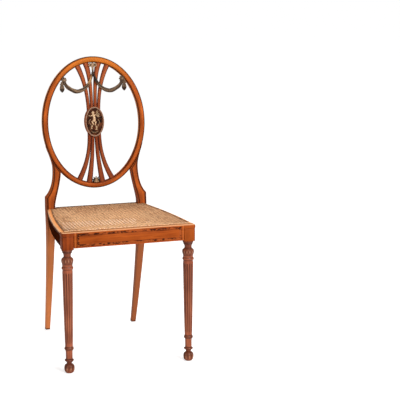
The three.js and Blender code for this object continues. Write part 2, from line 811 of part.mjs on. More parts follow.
// A bar's tapering body along its centre line; its margin thins it to a tongue
function barBody(name, margin) {
  const isUpper = name.startsWith("upper");
  const way = isUpper ? 1 : -1;
  const start = medallionCentre + way * MEDALLION_HALF_HEIGHT;
  const end = innerCentre + way * innerHalfHeight;
  const line = barLineShares[name].map(
    ([x, s]) => new THREE.Vector2(x * MEDALLION_HALF_WIDTH, lerp(start, end, s)),
  );
  const curve = new THREE.CubicBezierCurve(...line);
  const front = BAR_RECESS + margin;
  const rear = BAR_RECESS + BAR_DEPTH - margin;
  const chamfer = margin === 0 ? BAR_CHAMFER : GAP;
  const rings = spaced(0, 1, BAR_STEPS).map((t) => {
    const width = lerp(BAR_MIDDLE_WIDTH, BAR_HOOP_WIDTH, (1 - t) * (1 - t));
    const half = width / 2 - margin;
    const place = curve.getPoint(t);
    const along = curve.getTangent(t);
    const at = (side, y) =>
      new THREE.Vector3(place.x - along.y * side, y, place.y + along.x * side);
    return [
      at(-half, rear),
      at(-half, front + chamfer),
      at(chamfer - half, front),
      at(half - chamfer, front),
      at(half, front + chamfer),
      at(half, rear),
    ];
  });
  return loft(rings);
}

function medallionDisc(grow) {
  const halfWidth = MEDALLION_HALF_WIDTH + grow;
  const halfHeight = MEDALLION_HALF_HEIGHT + grow;
  return ovalDisc(halfWidth, halfHeight, medallionCentre, -OVERRUN, HOOP_DEPTH + OVERRUN);
}

// The bar between its shoulders, with a tongue at each end
function bar(name) {
  const body = barBody(name, 0).intersect(openingDisc(-GAP)).subtract(medallionDisc(GAP));
  return body.add(barTongue(name, BAR_TENON_SHOULDER, BAR_TENON_LENGTH));
}

function barTongue(name, margin, length) {
  const core = barBody(name, margin).intersect(openingDisc(length));
  return core.subtract(medallionDisc(-length));
}

function barMortises(names) {
  const holes = names.map((name) =>
    barTongue(name, BAR_TENON_SHOULDER - GAP, BAR_TENON_LENGTH + GAP),
  );
  return holes.flatMap((hole) => [hole, mirrored(hole)]);
}

function cutAll(solid, holes) {
  return holes.reduce((rest, hole) => rest.subtract(hole), solid);
}

function buildHoop() {
  const upperBars = Object.keys(barLineShares).filter((name) => name.startsWith("upper"));
  const lowerBars = Object.keys(barLineShares).filter((name) => name.startsWith("lower"));
  const socket = (angle) => {
    const hole = hoopTongue(angle, GAP);
    return [hole, mirrored(hole)];
  };
  const crest = hoopArc(HOOP_JOINT, Math.PI - HOOP_JOINT);
  const crestHoles = [...socket(HOOP_JOINT), ...barMortises(upperBars)];
  addPiece(back, "hoop_crest", cutAll(crest, crestHoles), wood);
  const foot = hoopArc(HOOP_JOINT - Math.PI, -HOOP_JOINT);
  const footHoles = [...socket(-HOOP_JOINT), ...barMortises(lowerBars)];
  addPiece(back, "hoop_foot", cutAll(foot, footHoles), wood);
  const side = hoopArc(-HOOP_JOINT, HOOP_JOINT)
    .add(hoopTongue(HOOP_JOINT, 0))
    .add(hoopTongue(-HOOP_JOINT, 0));
  addPair(back, "hoop_side", side, wood);
}

function buildBars() {
  for (const name of Object.keys(barLineShares)) {
    addPair(back, name, bar(name), wood);
  }
}

// A ring on the medallion's oval, grown by some amount, at a depth
function ovalRing(grow, y) {
  const angles = spaced(0, 2 * Math.PI, OVAL_STEPS).slice(1);
  return angles.map((angle) => {
    const x = (MEDALLION_HALF_WIDTH + grow) * Math.cos(angle);
    const z = medallionCentre + (MEDALLION_HALF_HEIGHT + grow) * Math.sin(angle);
    return new THREE.Vector3(x, y, z);
  });
}

function buildMedallion() {
  const front = -MEDALLION_PROUD;
  const rear = front + MEDALLION_DEPTH;
  const floor = front + PANEL_RECESS;
  const roll = MEDALLION_RIM / 2;
  const frame = loft([
    ovalRing(-MEDALLION_EDGE, rear),
    ovalRing(0, rear - MEDALLION_EDGE),
    ovalRing(0, front + roll),
    ovalRing(-0.3 * roll, front + 0.3 * roll),
    ovalRing(-roll, front),
    ovalRing(-1.7 * roll, front + 0.3 * roll),
    ovalRing(-2 * roll, front + roll),
    ovalRing(-2 * roll, floor),
  ]);
  addPiece(back, "medallion_frame", cutAll(frame, barMortises(Object.keys(barLineShares))), wood);
  const edge = -MEDALLION_RIM - GAP;
  const face = floor - GAP - PANEL_THICKNESS;
  const panel = loft([
    ovalRing(edge, floor - GAP),
    ovalRing(edge, face),
    ovalRing(edge - 0.25 * MEDALLION_HALF_WIDTH, face - 0.75 * PANEL_DOME),
    ovalRing(edge - 0.55 * MEDALLION_HALF_WIDTH, face - PANEL_DOME),
  ]);
  addPiece(back, "medallion_panel", panel, ground);
}

// Line of the right-hand swag: shares of its span and of its sag
const swagLineShares = [
  [0, 0],
  [0.07, 0.28],
  [0.146, 0.58],
  [0.255, 0.862],
  [0.408, 1],
  [0.592, 0.979],
  [0.796, 0.708],
  [0.93, 0.424],
  [1, 0.104],
];

// Thickness along the swag, as shares of its length and of its full thickness
const swagBellyShares = [
  [0, 0.35],
  [0.25, 0.62],
  [0.45, 0.9],
  [0.65, 1],
  [0.85, 0.9],
  [1, 0.65],
];

// A festoon of twisted cloth: lobes wind round it as it goes
function swag() {
  const line = swagLineShares.map(
    ([x, sag]) => new THREE.Vector3(x * swagSpan, 0, lerp(knotZ, rosetteZ, x) - sag * SWAG_SAG),
  );
  const curve = new THREE.CatmullRomCurve3(line);
  const rings = spaced(0, 1, SWAG_STEPS).map((share) => {
    const centre = curve.getPointAt(share);
    const along = curve.getTangentAt(share);
    const radius = SWAG_FULL * readOff(swagBellyShares, share);
    const twist = share * SWAG_TURNS * 2 * Math.PI;
    return spaced(0, 2 * Math.PI, SWAG_SIDES)
      .slice(1)
      .map((angle) => {
        const wave = Math.cos(SWAG_LOBES * angle + twist);
        const lobe = 1 - SWAG_LOBE_SHARE * (1 - wave);
        const side = radius * lobe * Math.cos(angle);
        const y = BAR_RECESS - GAP - radius + radius * lobe * Math.sin(angle);
        return new THREE.Vector3(centre.x - along.z * side, y, centre.z + along.x * side);
      });
  });
  return loft(rings).subtract(rosetteSeat()).subtract(knotSeat()).subtract(leftHalf());
}

// All of the garland's left half, up to half a clearance from the middle
function leftHalf() {
  const low = Math.min(knotZ, rosetteZ) - 2 * SWAG_SAG;
  return box(-swagSpan, GAP / 2, -HOOP_DEPTH, HOOP_DEPTH, low, openingTop);
}

// A round hole for a rosette or the knot, through the whole depth
function roundSeat(x, z, radius) {
  const length = HOOP_DEPTH + 4 * OVERRUN;
  const geometry = new THREE.CylinderGeometry(radius, radius, length, ROUND_STEPS);
  return solidOf(geometry.translate(x, 0, z));
}

function rosetteSeat() {
  return roundSeat(swagSpan, rosetteZ, ROSETTE_RADIUS + GAP);
}

function knotSeat() {
  return roundSeat(0, knotZ, KNOT_RADIUS + GAP);
}

// A rosette: shares of its radius, of its depth from the front, and of the petals' scallop
const rosetteShares = [
  [0.75, 1, 0],
  [1, 0.75, 1],
  [0.95, 0.35, 1],
  [0.62, 0.12, 0.5],
  [0.44, 0.24, 0],
  [0.36, 0.08, 0],
  [0.2, 0, 0],
];

function rosette() {
  const front = ROSETTE_BEHIND - ROSETTE_DEPTH;
  const rings = rosetteShares.map(([wide, deep, scallop]) =>
    spaced(0, 2 * Math.PI, 2 * ROSETTE_PETALS)
      .slice(1)
      .map((angle, i) => {
        const r = ROSETTE_RADIUS * wide * (1 - 0.12 * scallop * (i % 2));
        const x = swagSpan + r * Math.cos(angle);
        return new THREE.Vector3(x, front + deep * ROSETTE_DEPTH, rosetteZ + r * Math.sin(angle));
      }),
  );
  return loft(rings).subtract(aroundOpening());
}

// A tassel: shares of its radius and of its length from the top
const tasselShares = [
  [0.3, -0.12],
  [0.34, 0.06],
  [0.6, 0.16],
  [0.5, 0.26],
  [0.62, 0.34],
  [1, 0.62],
  [0.84, 0.82],
  [0.1, 1],
];

function tassel() {
  const top = rosetteZ - ROSETTE_RADIUS;
  const y = ROSETTE_BEHIND - ROSETTE_DEPTH / 2;
  const rings = tasselShares.map(([wide, down]) =>
    spaced(0, 2 * Math.PI, TASSEL_SIDES)
      .slice(1)
      .map((angle) => {
        const r = wide * TASSEL_RADIUS;
        const x = swagSpan + TASSEL_OUTSET + r * Math.cos(angle);
        return new THREE.Vector3(x, y + 0.7 * r * Math.sin(angle), top - down * TASSEL_LENGTH);
      }),
  );
  return loft(rings).subtract(rosetteSeat());
}

// The ribbon bow under the crest, its ribbon and the knot where the swags start
function ribbonBow() {
  const y = -BOW_DEPTH / 2 + BAR_RECESS;
  const loop = new THREE.SphereGeometry(1, 10, 6);
  loop.scale(0.6 * BOW_LOOP_LENGTH, BOW_DEPTH / 2, BOW_LOOP_HEIGHT);
  loop.rotateY(0.2).translate(0.5 * BOW_LOOP_LENGTH, y, bowZ);
  const knot = new THREE.SphereGeometry(KNOT_RADIUS, 10, 6).translate(0, y, knotZ);
  const half = RIBBON_WIDTH / 2;
  const ribbon = box(-half, half, y - half, y + half / 2, knotZ, openingTop + OVERRUN);
  const right = solidOf(loop);
  return right
    .add(mirrored(right))
    .add(ribbon)
    .add(solidOf(knot))
    .subtract(aroundOpening());
}

// The fluted shell at the foot of the opening, standing on the hoop's inner edge
function shell() {
  const base = innerCentre - innerHalfHeight - BAR_RECESS;
  const rise = SHELL_HEIGHT + BAR_RECESS;
  const layers = [
    [1, BAR_RECESS + SHELL_DEPTH],
    [1, BAR_RECESS + 0.3 * SHELL_DEPTH],
    [0.88, BAR_RECESS],
    [0.55, BAR_RECESS - 0.2 * SHELL_DEPTH],
  ];
  const rings = layers.map(([size, y]) => {
    const rim = spaced(0, Math.PI, SHELL_STEPS).map((angle) => {
      const scallop = 0.93 + 0.07 * Math.abs(Math.cos(SHELL_RIBS * angle));
      const x = SHELL_HALF_WIDTH * size * scallop * Math.cos(angle);
      return new THREE.Vector3(x, y, base + rise * size * scallop * Math.sin(angle));
    });
    return rim;
  });
  return loft(rings).subtract(aroundOpening());
}

function buildGarland() {
  addPiece(back, "ribbon_bow", ribbonBow(), painted);
  addPair(back, "swag", swag(), painted);
  addPair(back, "rosette", rosette(), painted);
  addPair(back, "tassel", tassel(), painted);
  addPiece(back, "foot_shell", shell(), painted);
}

// Edges of the cane: a line along each side, stepped in where the posts stand
const caneFrontY = CANE_FRONT_INSET;
const caneBackY = seatBackY - CANE_BACK_INSET;
const caneStepY = LEG_FRONT_Y - CANE_POST_CLEARANCE;
const caneStepX = legInnerSeat - CANE_POST_CLEARANCE;

function caneHalf(y) {
  return y < caneStepY ? seatHalf(y) - CANE_SIDE_INSET : caneStepX;
}

// How far the cane has sunk at a place: nothing on its frame, all of the dish in the middle
function caneSink(x, y) {
  const fromSide = caneHalf(Math.min(y, caneStepY - GAP)) - Math.abs(x);
  const fromEdge = Math.min(fromSide, y - caneFrontY, caneBackY - y);
  return CANE_DISH * THREE.MathUtils.smoothstep(fromEdge - caneFlat, 0, CANE_SLOPE);
}

// The net's grid: how many cells each row holds on either side of its middle cell
const canePitch = (caneBackY - caneFrontY - 2 * CANE_BORDER) / CANE_ROWS;
const caneFlat = CANE_BORDER + canePitch + CANE_WEB; // the dish starts this far in
const caneRows = Array.from({ length: CANE_ROWS }, (_, row) => {
  const y0 = caneFrontY + CANE_BORDER + row * canePitch;
  const room = caneHalf(y0 + canePitch) - CANE_BORDER - canePitch / 2;
  return { y0, reach: Math.floor(room / canePitch) };
});

function isCell(row, column) {
  return row >= 0 && row < CANE_ROWS && Math.abs(column) <= caneRows[row].reach;
}

// The four corners of a cell, or of the gap in it, going round from the front left
function cellCorners(row, column, inset) {
  const half = canePitch / 2 - inset;
  const x = column * canePitch;
  const y = caneRows[row].y0 + canePitch / 2;
  return [
    [x - half, y - half],
    [x + half, y - half],
    [x + half, y + half],
    [x - half, y + half],
  ];
}

// Every cell is a square ring of cane round its gap, sunk into the dish
function caneNet() {
  const quads = [];
  const at = ([x, y], up) => new THREE.Vector3(x, y, caneZ + up - caneSink(x, y));
  const top = (place) => at(place, CANE_THICKNESS);
  const low = (place) => at(place, 0);
  const neighbours = [
    [-1, 0],
    [0, 1],
    [1, 0],
    [0, -1],
  ];
  caneRows.forEach(({ reach }, row) => {
    for (let column = -reach; column <= reach; column++) {
      const outer = cellCorners(row, column, 0);
      const inner = cellCorners(row, column, CANE_WEB / 2);
      neighbours.forEach(([rowStep, columnStep], k) => {
        const n = (k + 1) % 4;
        quads.push([top(outer[k]), top(outer[n]), top(inner[n]), top(inner[k])]);
        quads.push([low(outer[n]), low(outer[k]), low(inner[k]), low(inner[n])]);
        quads.push([low(inner[n]), low(inner[k]), top(inner[k]), top(inner[n])]);
        if (!isCell(row + rowStep, column + columnStep)) {
          quads.push([low(outer[k]), low(outer[n]), top(outer[n]), top(outer[k])]);
        }
      });
    }
  });
  const corners = quads.flatMap(([a, b, c, d]) => [a, b, c, a, c, d]);
  return solidOf(new THREE.BufferGeometry().setFromPoints(corners));
}

// The stepped outline of all the cells, with a corner only where a row gains or loses cells
function gridOutline() {
  const right = [];
  for (const { y0, reach } of caneRows) {
    const x = (reach + 0.5) * canePitch;
    const before = right.at(-1);
    if (!before) {
      right.push([x, y0]);
    } else if (before[0] !== x) {
      right.push([before[0], y0], [x, y0]);
    }
  }
  right.push([right.at(-1)[0], caneRows.at(-1).y0 + canePitch]);
  const left = right.map(([x, y]) => [-x, y]).reverse();
  return [...right, ...left];
}

// The plain border: the whole plate less the grid. It laps the grid a little all round,
// and is thinner by a skin, so that the two join cleanly.
function caneBorder() {
  const sideYs = spaced(caneFrontY, caneStepY, SIDE_STEPS);
  const right = [
    ...sideYs.map((y) => [seatHalf(y) - CANE_SIDE_INSET, y]),
    [caneStepX, caneStepY],
    [caneStepX, caneBackY],
  ];
  const left = right.map(([x, y]) => [-x, y]).reverse();
  const skin = CANE_THICKNESS / 20;
  const plate = raised([...right, ...left], caneZ + skin, caneZ + CANE_THICKNESS - skin);
  const grid = solidOf(raised(gridOutline(), caneZ - OVERRUN, caneZ + OVERRUN));
  const lap = CANE_WEB / 4;
  const shifts = [
    [lap, 0, 0],
    [-lap, 0, 0],
    [0, lap, 0],
    [0, -lap, 0],
  ];
  const drawnIn = shifts.reduce((rest, shift) => rest.intersect(grid.translate(shift)), grid);
  return solidOf(plate).subtract(drawnIn);
}

function buildCane() {
  addPiece(chair, "cane_seat", caneBorder().add(caneNet()), caneStraw);
}

// Section of a binding strip: share of its half width, share of its height
const bindingShares = [
  [-1, 0],
  [-0.8, 0.75],
  [0, 1],
  [0.8, 0.75],
  [1, 0],
];

function bindingStrip(line) {
  const base = caneZ + CANE_THICKNESS + GAP;
  const rings = line.map(([x, y, nx, ny]) =>
    bindingShares.map(([side, up]) => {
      const out = (side * BINDING_WIDTH) / 2;
      return new THREE.Vector3(x + nx * out, y + ny * out, base + up * BINDING_HEIGHT);
    }),
  );
  return loft(rings);
}

function buildBindings() {
  const inset = CANE_BORDER / 2;
  const half = BINDING_WIDTH / 2;
  const frontLineY = caneFrontY + inset;
  const backLineY = caneBackY - inset;
  const frontHalf = caneHalf(frontLineY) - inset + half;
  const frontLine = [-frontHalf, frontHalf].map((x) => [x, frontLineY, 0, 1]);
  addPiece(chair, "front_cane_binding", bindingStrip(frontLine), caneStraw);
  const backHalf = caneStepX - inset;
  const backLine = [-backHalf, backHalf].map((x) => [x, backLineY, 0, 1]);
  addPiece(chair, "back_cane_binding", bindingStrip(backLine), caneStraw);
  const sideYs = spaced(frontLineY + half + GAP, caneStepY - GAP, SIDE_STEPS);
  const sideLine = sideYs.map((y) => [caneHalf(y) - inset, y, 1, 0]);
  addPair(chair, "side_cane_binding", bindingStrip(sideLine), caneStraw);
}

buildSeatFrame();
buildRails();
buildCornerBraces();
buildFrontLegs();
buildBackLegs();
buildHoop();
buildBars();
buildMedallion();
buildGarland();
buildCane();
buildBindings();

export default chair;
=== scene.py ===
import math

import bmesh
import bpy
from mathutils import Matrix, Vector, noise


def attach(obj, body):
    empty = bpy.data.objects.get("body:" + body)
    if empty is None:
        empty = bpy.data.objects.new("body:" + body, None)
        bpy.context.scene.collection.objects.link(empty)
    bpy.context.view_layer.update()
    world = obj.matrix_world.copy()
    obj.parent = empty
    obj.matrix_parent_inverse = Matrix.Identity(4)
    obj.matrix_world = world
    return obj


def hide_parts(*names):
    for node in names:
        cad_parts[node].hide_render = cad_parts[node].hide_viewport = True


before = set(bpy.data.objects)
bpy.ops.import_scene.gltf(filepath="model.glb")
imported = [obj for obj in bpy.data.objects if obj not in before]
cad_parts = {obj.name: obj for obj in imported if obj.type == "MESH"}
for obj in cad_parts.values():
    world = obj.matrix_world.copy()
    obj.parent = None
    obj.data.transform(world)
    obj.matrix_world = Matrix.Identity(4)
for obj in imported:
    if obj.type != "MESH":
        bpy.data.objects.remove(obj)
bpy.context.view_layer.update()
bpy.context.scene.view_settings.view_transform = "Standard"

# The studio. The camera stands four metres in front of the chair and to its left, looking
# a little down. One large soft lamp hangs in front to the right, a weaker one to the left,
# and the floor is white paper that keeps the chair's shadow.
def placed(name, data):
    """An object of the scene for a mesh, a curve, a lamp or the camera."""
    made = bpy.data.objects.new(name, data)
    bpy.context.scene.collection.objects.link(made)
    return made


camera = placed("camera", bpy.data.cameras.new("camera"))
camera.data.sensor_fit = "HORIZONTAL"
camera.data.sensor_width = 36
camera.data.lens = 117.79
camera.data.clip_end = 200
view_yaw, view_pitch, view_roll = (math.radians(angle) for angle in (-18.915, 10.48, -0.1))
camera.matrix_world = (
    Matrix.Translation((-1.0633, -4.0231, 1.2517))
    @ Matrix.Rotation(view_yaw, 4, "Z")
    @ Matrix.Rotation(math.pi / 2 - view_pitch, 4, "X")
    @ Matrix.Rotation(view_roll, 4, "Z")
)
bpy.context.scene.camera = camera


def wired(tree, kind, feeds=None, **settings):
    """A node with its settings, whose sockets are fed by values or by other nodes' sockets."""
    made = tree.nodes.new(kind)
    for name, value in settings.items():
        setattr(made, name, value)
    for socket, value in (feeds or {}).items():
        if isinstance(value, bpy.types.NodeSocket):
            tree.links.new(value, made.inputs[socket])
        else:
            made.inputs[socket].default_value = value
    return made


def ramped(tree, value, low, high, start=0.0, end=1.0):
    """Goes from start to end while a value goes from low to high."""
    ends = {"From Min": low, "From Max": high, "To Min": start, "To Max": end}
    return wired(tree, "ShaderNodeMapRange", {"Value": value, **ends}).outputs[0]


def object_place(tree):
    return wired(tree, "ShaderNodeTexCoord").outputs["Object"]


def emptied(owner):
    """The node tree of a world or a material, with nothing in it."""
    owner.use_nodes = True
    owner.node_tree.nodes.clear()
    return owner.node_tree


def soft_lamp(name, place, size, power):
    """A round lamp that is aimed at the middle of the chair."""
    lamp = placed(name, bpy.data.lights.new(name, "AREA"))
    lamp.data.shape = "DISK"
    lamp.data.size = size
    lamp.data.energy = power
    away = Vector(place) - Vector((0, 0, 0.5))
    lamp.matrix_world = Matrix.Translation(place) @ away.to_track_quat("Z", "Y").to_matrix().to_4x4()


soft_lamp("front_lamp", (1.2, -3.2, 2.2), 1.8, 112)
soft_lamp("side_lamp", (-2.8, -2.2, 1.4), 1.6, 12)
soft_lamp("top_lamp", (0.3, 0.2, 3.2), 2.0, 48)

white = (1, 1, 1, 1)
sky = bpy.data.worlds.new("white studio")
bpy.context.scene.world = sky
tree = emptied(sky)
seen = wired(tree, "ShaderNodeLightPath").outputs["Is Camera Ray"]
lit = wired(tree, "ShaderNodeBackground", {"Color": white, "Strength": 0.28}).outputs[0]
shown = wired(tree, "ShaderNodeBackground", {"Color": white, "Strength": 1.0}).outputs[0]
either = wired(tree, "ShaderNodeMixShader", {0: seen, 1: lit, 2: shown}).outputs[0]
wired(tree, "ShaderNodeOutputWorld", {"Surface": either})

paper = bpy.data.materials.new("white paper")
tree = emptied(paper)
seen = wired(tree, "ShaderNodeLightPath").outputs["Is Camera Ray"]
away = wired(tree, "ShaderNodeVectorMath", {0: object_place(tree)}, operation="LENGTH").outputs["Value"]
far = ramped(tree, away, 0.4, 5.0, 0.6, 0.8)
matt = wired(tree, "ShaderNodeBsdfDiffuse", {"Color": (0.72, 0.72, 0.72, 1)}).outputs[0]
bright = wired(tree, "ShaderNodeEmission", {"Color": white, "Strength": far}).outputs[0]
unlit = wired(tree, "ShaderNodeEmission", {"Color": (0, 0, 0, 1), "Strength": 0}).outputs[0]
lifted = wired(tree, "ShaderNodeMixShader", {0: seen, 1: unlit, 2: bright}).outputs[0]
both = wired(tree, "ShaderNodeAddShader", {0: matt, 1: lifted}).outputs[0]
wired(tree, "ShaderNodeOutputMaterial", {"Surface": both})

floor_shape = bmesh.new()
bmesh.ops.create_grid(floor_shape, x_segments=1, y_segments=1, size=60)
bmesh.ops.translate(floor_shape, vec=(0, 0, -0.0006), verts=floor_shape.verts)
floor_mesh = bpy.data.meshes.new("floor")
floor_shape.to_mesh(floor_mesh)
floor_shape.free()
floor_mesh.materials.append(paper)
floor = placed("floor", floor_mesh)


# The back legs, each sawn from one plank with the post above the seat. They are satinwood,
# swept back to the foot, lyre shaped above the seat, and cut to the hoop that they carry.
# A dark string is let in along both edges of the front face, and painted shade darkens the
# face towards both edges.
def swept(section, steps, front=None, closed=False, open_section=False):
    """A body drawn by extruding a section of (x, y) places through one matrix a step.

    Its "grain" map holds metres round the section and along the sweep. Its "edge" map holds,
    on the front face between two section points, the distance to that face's nearer edge."""
    bm = bmesh.new()
    ring_no = bm.verts.layers.int.new("ring")
    point_no = bm.verts.layers.int.new("point")
    count, rings = len(section), len(steps)

    def spot(i, k):
        return steps[i % rings] @ Vector((*section[k % count], 0))

    verts = [bm.verts.new(spot(0, k)) for k in range(count)]
    for k, vert in enumerate(verts):
        vert[point_no] = k
    ends = verts[1:] + ([] if open_section else verts[:1])
    edges = [bm.edges.new(pair) for pair in zip(verts, ends)]
    first = edges
    for i in range(1, rings):
        grown = bmesh.ops.extrude_edge_only(bm, edges=edges)["geom"]
        ring = {g for g in grown if isinstance(g, bmesh.types.BMVert)}
        edges = [g for g in grown if isinstance(g, bmesh.types.BMEdge) and set(g.verts) <= ring]
        move = steps[i] @ steps[i - 1].inverted()
        bmesh.ops.transform(bm, matrix=move, verts=list(ring))
        for vert in ring:
            vert[ring_no] = i
    if closed:
        bmesh.ops.bridge_loops(bm, edges=first + edges)
        if open_section:
            rims = [e for e in bm.edges if e.is_boundary]
            bmesh.ops.edgeloop_fill(bm, edges=rims)
    else:
        bmesh.ops.edgeloop_fill(bm, edges=first)
        bmesh.ops.edgeloop_fill(bm, edges=edges)
    width, length = [0.0], [0.0]
    for k in range(count):
        width.append(width[-1] + (spot(0, k + 1) - spot(0, k)).length)
    for i in range(rings):
        length.append(length[-1] + (spot(i + 1, 0) - spot(i, 0)).length)
    grain = bm.loops.layers.uv.new("grain")
    edge = bm.loops.layers.uv.new("edge")
    for face in bm.faces:
        points = [loop.vert[point_no] for loop in face.loops]
        places = [loop.vert[ring_no] for loop in face.loops]
        is_seam = min(points) == 0 and max(points) == count - 1 and count > 3 and len(points) == 4
        is_join = closed and min(places) == 0 and max(places) == rings - 1 and len(points) == 4
        for loop, k, i in zip(face.loops, points, places):
            across = width[count] if is_seam and k == 0 else width[k]
            along = length[rings] if is_join and i == 0 else length[i]
            loop[grain].uv = (across, along)
            loop[edge].uv = (0, 1)
            if front and front[0] <= k <= front[1]:
                loop[edge].uv = (min((spot(i, k) - spot(i, end)).length for end in front), 0)
    return bm


def set_piece(bm, name, slot, finish, node=None, crease=35):
    """The finished piece, smooth but for its sharp edges, standing for its solid."""
    bmesh.ops.recalc_face_normals(bm, faces=bm.faces)
    mesh = bpy.data.meshes.new(name)
    bm.to_mesh(mesh)
    bm.free()
    mesh.shade_smooth()
    mesh.set_sharp_from_angle(angle=math.radians(crease))
    mesh.materials.append(finish)
    piece = placed(name, mesh)
    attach(piece, "root")
    if node:
        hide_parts(node)


def set_pair(bm, name, slot, finish, node=None, crease=35):
    """The right-hand piece and its mirrored twin on the left."""
    twin = bm.copy()
    bmesh.ops.scale(twin, vec=(-1, 1, 1), verts=twin.verts)
    for side, shape in (("right_", bm), ("left_", twin)):
        set_piece(shape, side + name, slot, finish, side + node if node else None, crease)


def tone(red, green, blue):
    """A colour of the finished piece, given as 0 to 255, as the shader takes it."""
    parts = [c / 255 for c in (red, green, blue)]
    return tuple(c / 12.92 if c <= 0.04045 else ((c + 0.055) / 1.055) ** 2.4 for c in parts) + (1,)


def effect(name, inputs, outputs):
    """An empty node group with named inputs and outputs."""
    group = bpy.data.node_groups.new(name, "ShaderNodeTree")
    for label, kind, value in inputs:
        socket = group.interface.new_socket(name=label, in_out="INPUT", socket_type=kind)
        if value is not None:
            socket.default_value = value
    for label, kind in outputs:
        group.interface.new_socket(name=label, in_out="OUTPUT", socket_type=kind)
    return group, wired(group, "NodeGroupInput"), wired(group, "NodeGroupOutput")


def worked(tree, operation, *values):
    """The result of a Math node on values or sockets."""
    return wired(tree, "ShaderNodeMath", dict(enumerate(values)), operation=operation).outputs[0]


def times(tree, value, factor):
    return worked(tree, "MULTIPLY", value, factor)


def mixed_tone(tree, mask, under, over):
    """One colour laid over another where the mask says."""
    return wired(tree, "ShaderNodeMix", {0: mask, 6: under, 7: over}, data_type="RGBA").outputs[2]


def layered(tree, colour, *layers):
    """A colour with others laid over it in turn, each by its mask, its share and its tone."""
    for mask, share, over in layers:
        colour = mixed_tone(tree, times(tree, mask, share), colour, tone(*over))
    return colour


def noisy(tree, place, scale, detail, turn=0.0, **more):
    """Noise on a place. A scale of (x, y, z) stretches it, turned about Z first."""
    if isinstance(scale, tuple):
        fit = {"Vector": place, "Rotation": (0, 0, turn), "Scale": scale}
        place, scale = wired(tree, "ShaderNodeMapping", fit).outputs[0], 1.0
    feeds = {"Vector": place, "Scale": scale, "Detail": detail, **more}
    return wired(tree, "ShaderNodeTexNoise", feeds).outputs["Fac"]


# Wood: broad soft clouds and stripes of figure, and fine fibres
wood_figure, given, gives = effect(
    "wood figure",
    [
        ("Grain", "NodeSocketVector", None),
        ("Pale", "NodeSocketColor", (0.5, 0.3, 0.1, 1)),
        ("Deep", "NodeSocketColor", (0.2, 0.1, 0.05, 1)),
        ("Stripe", "NodeSocketFloat", 1.0),
    ],
    [("Color", "NodeSocketColor"), ("Fibre", "NodeSocketFloat")],
)
stripes = noisy(wood_figure, given.outputs["Grain"], (150, 8, 60), 4, Roughness=0.55, Distortion=0.6)
clouds = noisy(wood_figure, given.outputs["Grain"], (24, 15, 20), 2)
fibres = noisy(wood_figure, given.outputs["Grain"], (900, 18, 700), 3)
spread = times(wood_figure, stripes, given.outputs["Stripe"])
spread = worked(wood_figure, "MULTIPLY_ADD", clouds, 0.7, spread)
spread = ramped(wood_figure, worked(wood_figure, "MULTIPLY_ADD", fibres, 0.2, spread), 0.7, 1.2)
mixed = mixed_tone(wood_figure, spread, given.outputs["Deep"], given.outputs["Pale"])
wood_figure.links.new(mixed, gives.inputs["Color"])
wood_figure.links.new(fibres, gives.inputs["Fibre"])

# A string let into the face at some distance from its edge, and painted shade on the arris beside it
string_line, given, gives = effect(
    "string line",
    [
        ("Edge", "NodeSocketVector", None),
        ("Inset", "NodeSocketFloat", 0.002),
        ("Width", "NodeSocketFloat", 0.0012),
        ("Arris shade", "NodeSocketFloat", 0.0015),
    ],
    [("String", "NodeSocketFloat"), ("Arris shade", "NodeSocketFloat"), ("Wall", "NodeSocketFloat")],
)
edge_off, wall_mark, _ = wired(string_line, "ShaderNodeSeparateXYZ", {0: given.outputs["Edge"]}).outputs
on_front = worked(string_line, "LESS_THAN", wall_mark, 0.05)
off_line = worked(string_line, "ABSOLUTE", worked(string_line, "SUBTRACT", edge_off, given.outputs["Inset"]))
line = worked(string_line, "DIVIDE", off_line, given.outputs["Width"])
line = ramped(string_line, line, 0.35, 0.65, 1.0, 0.0)
full = times(string_line, given.outputs["Arris shade"], 0.4)
near = ramped(string_line, edge_off, full, given.outputs["Arris shade"], 1.0, 0.0)
string_line.links.new(times(string_line, line, on_front), gives.inputs["String"])
string_line.links.new(times(string_line, near, on_front), gives.inputs["Arris shade"])
string_line.links.new(worked(string_line, "SUBTRACT", 1.0, on_front), gives.inputs["Wall"])


def object_axes(tree):
    """The x, y and z of the place, as three sockets."""
    return wired(tree, "ShaderNodeSeparateXYZ", {0: object_place(tree)}).outputs


def along_axis(tree, axis):
    """Object coordinates turned so that the fibres run along one axis."""
    parts = object_axes(tree)
    order = {"X": (2, 0, 1), "Y": (0, 1, 2), "Z": (0, 2, 1)}[axis]
    return wired(tree, "ShaderNodeCombineXYZ", {n: parts[k] for n, k in enumerate(order)}).outputs[0]


def new_finish(name, roughness, coat=0.0, coat_roughness=0.1, specular=0.5, gloss=1.35):
    """A finish, its node tree and its shader, whose gloss is set here and the rest by dressed."""
    finish = bpy.data.materials.new(name)
    finish.use_nodes = True
    shader = finish.node_tree.nodes["Principled BSDF"]
    shader.inputs["Roughness"].default_value = roughness
    shader.inputs["Coat Weight"].default_value = coat
    shader.inputs["Coat Roughness"].default_value = coat_roughness
    shader.inputs["Specular IOR Level"].default_value = specular
    shader.inputs["IOR"].default_value = gloss
    return finish, finish.node_tree, shader


def dressed(tree, shader, colour, height=None, strength=0.0, distance=0.0):
    """Gives a shader its colour, and its bump where there is a height."""
    tree.links.new(colour, shader.inputs["Base Color"])
    if height:
        bump = wired(tree, "ShaderNodeBump", {"Strength": strength, "Distance": distance, "Height": height})
        tree.links.new(bump.outputs[0], shader.inputs["Normal"])


def figured(tree, pale, deep, grain, stripe=1.0):
    """The figure of wood in two tones, its fibres along the grain."""
    feeds = {"Grain": grain, "Pale": tone(*pale), "Deep": tone(*deep), "Stripe": stripe}
    return wired(tree, "ShaderNodeGroup", feeds, node_tree=wood_figure).outputs


def height_tones(tree, colour, ramps, within=None):
    """Turns a colour towards others, each between two heights and as far as its share says."""
    height = object_axes(tree)[2]
    for low, high, share, other in ramps:
        mask = ramped(tree, height, low, high)
        colour = layered(tree, colour, (times(tree, mask, within) if within else mask, share, other))
    return colour


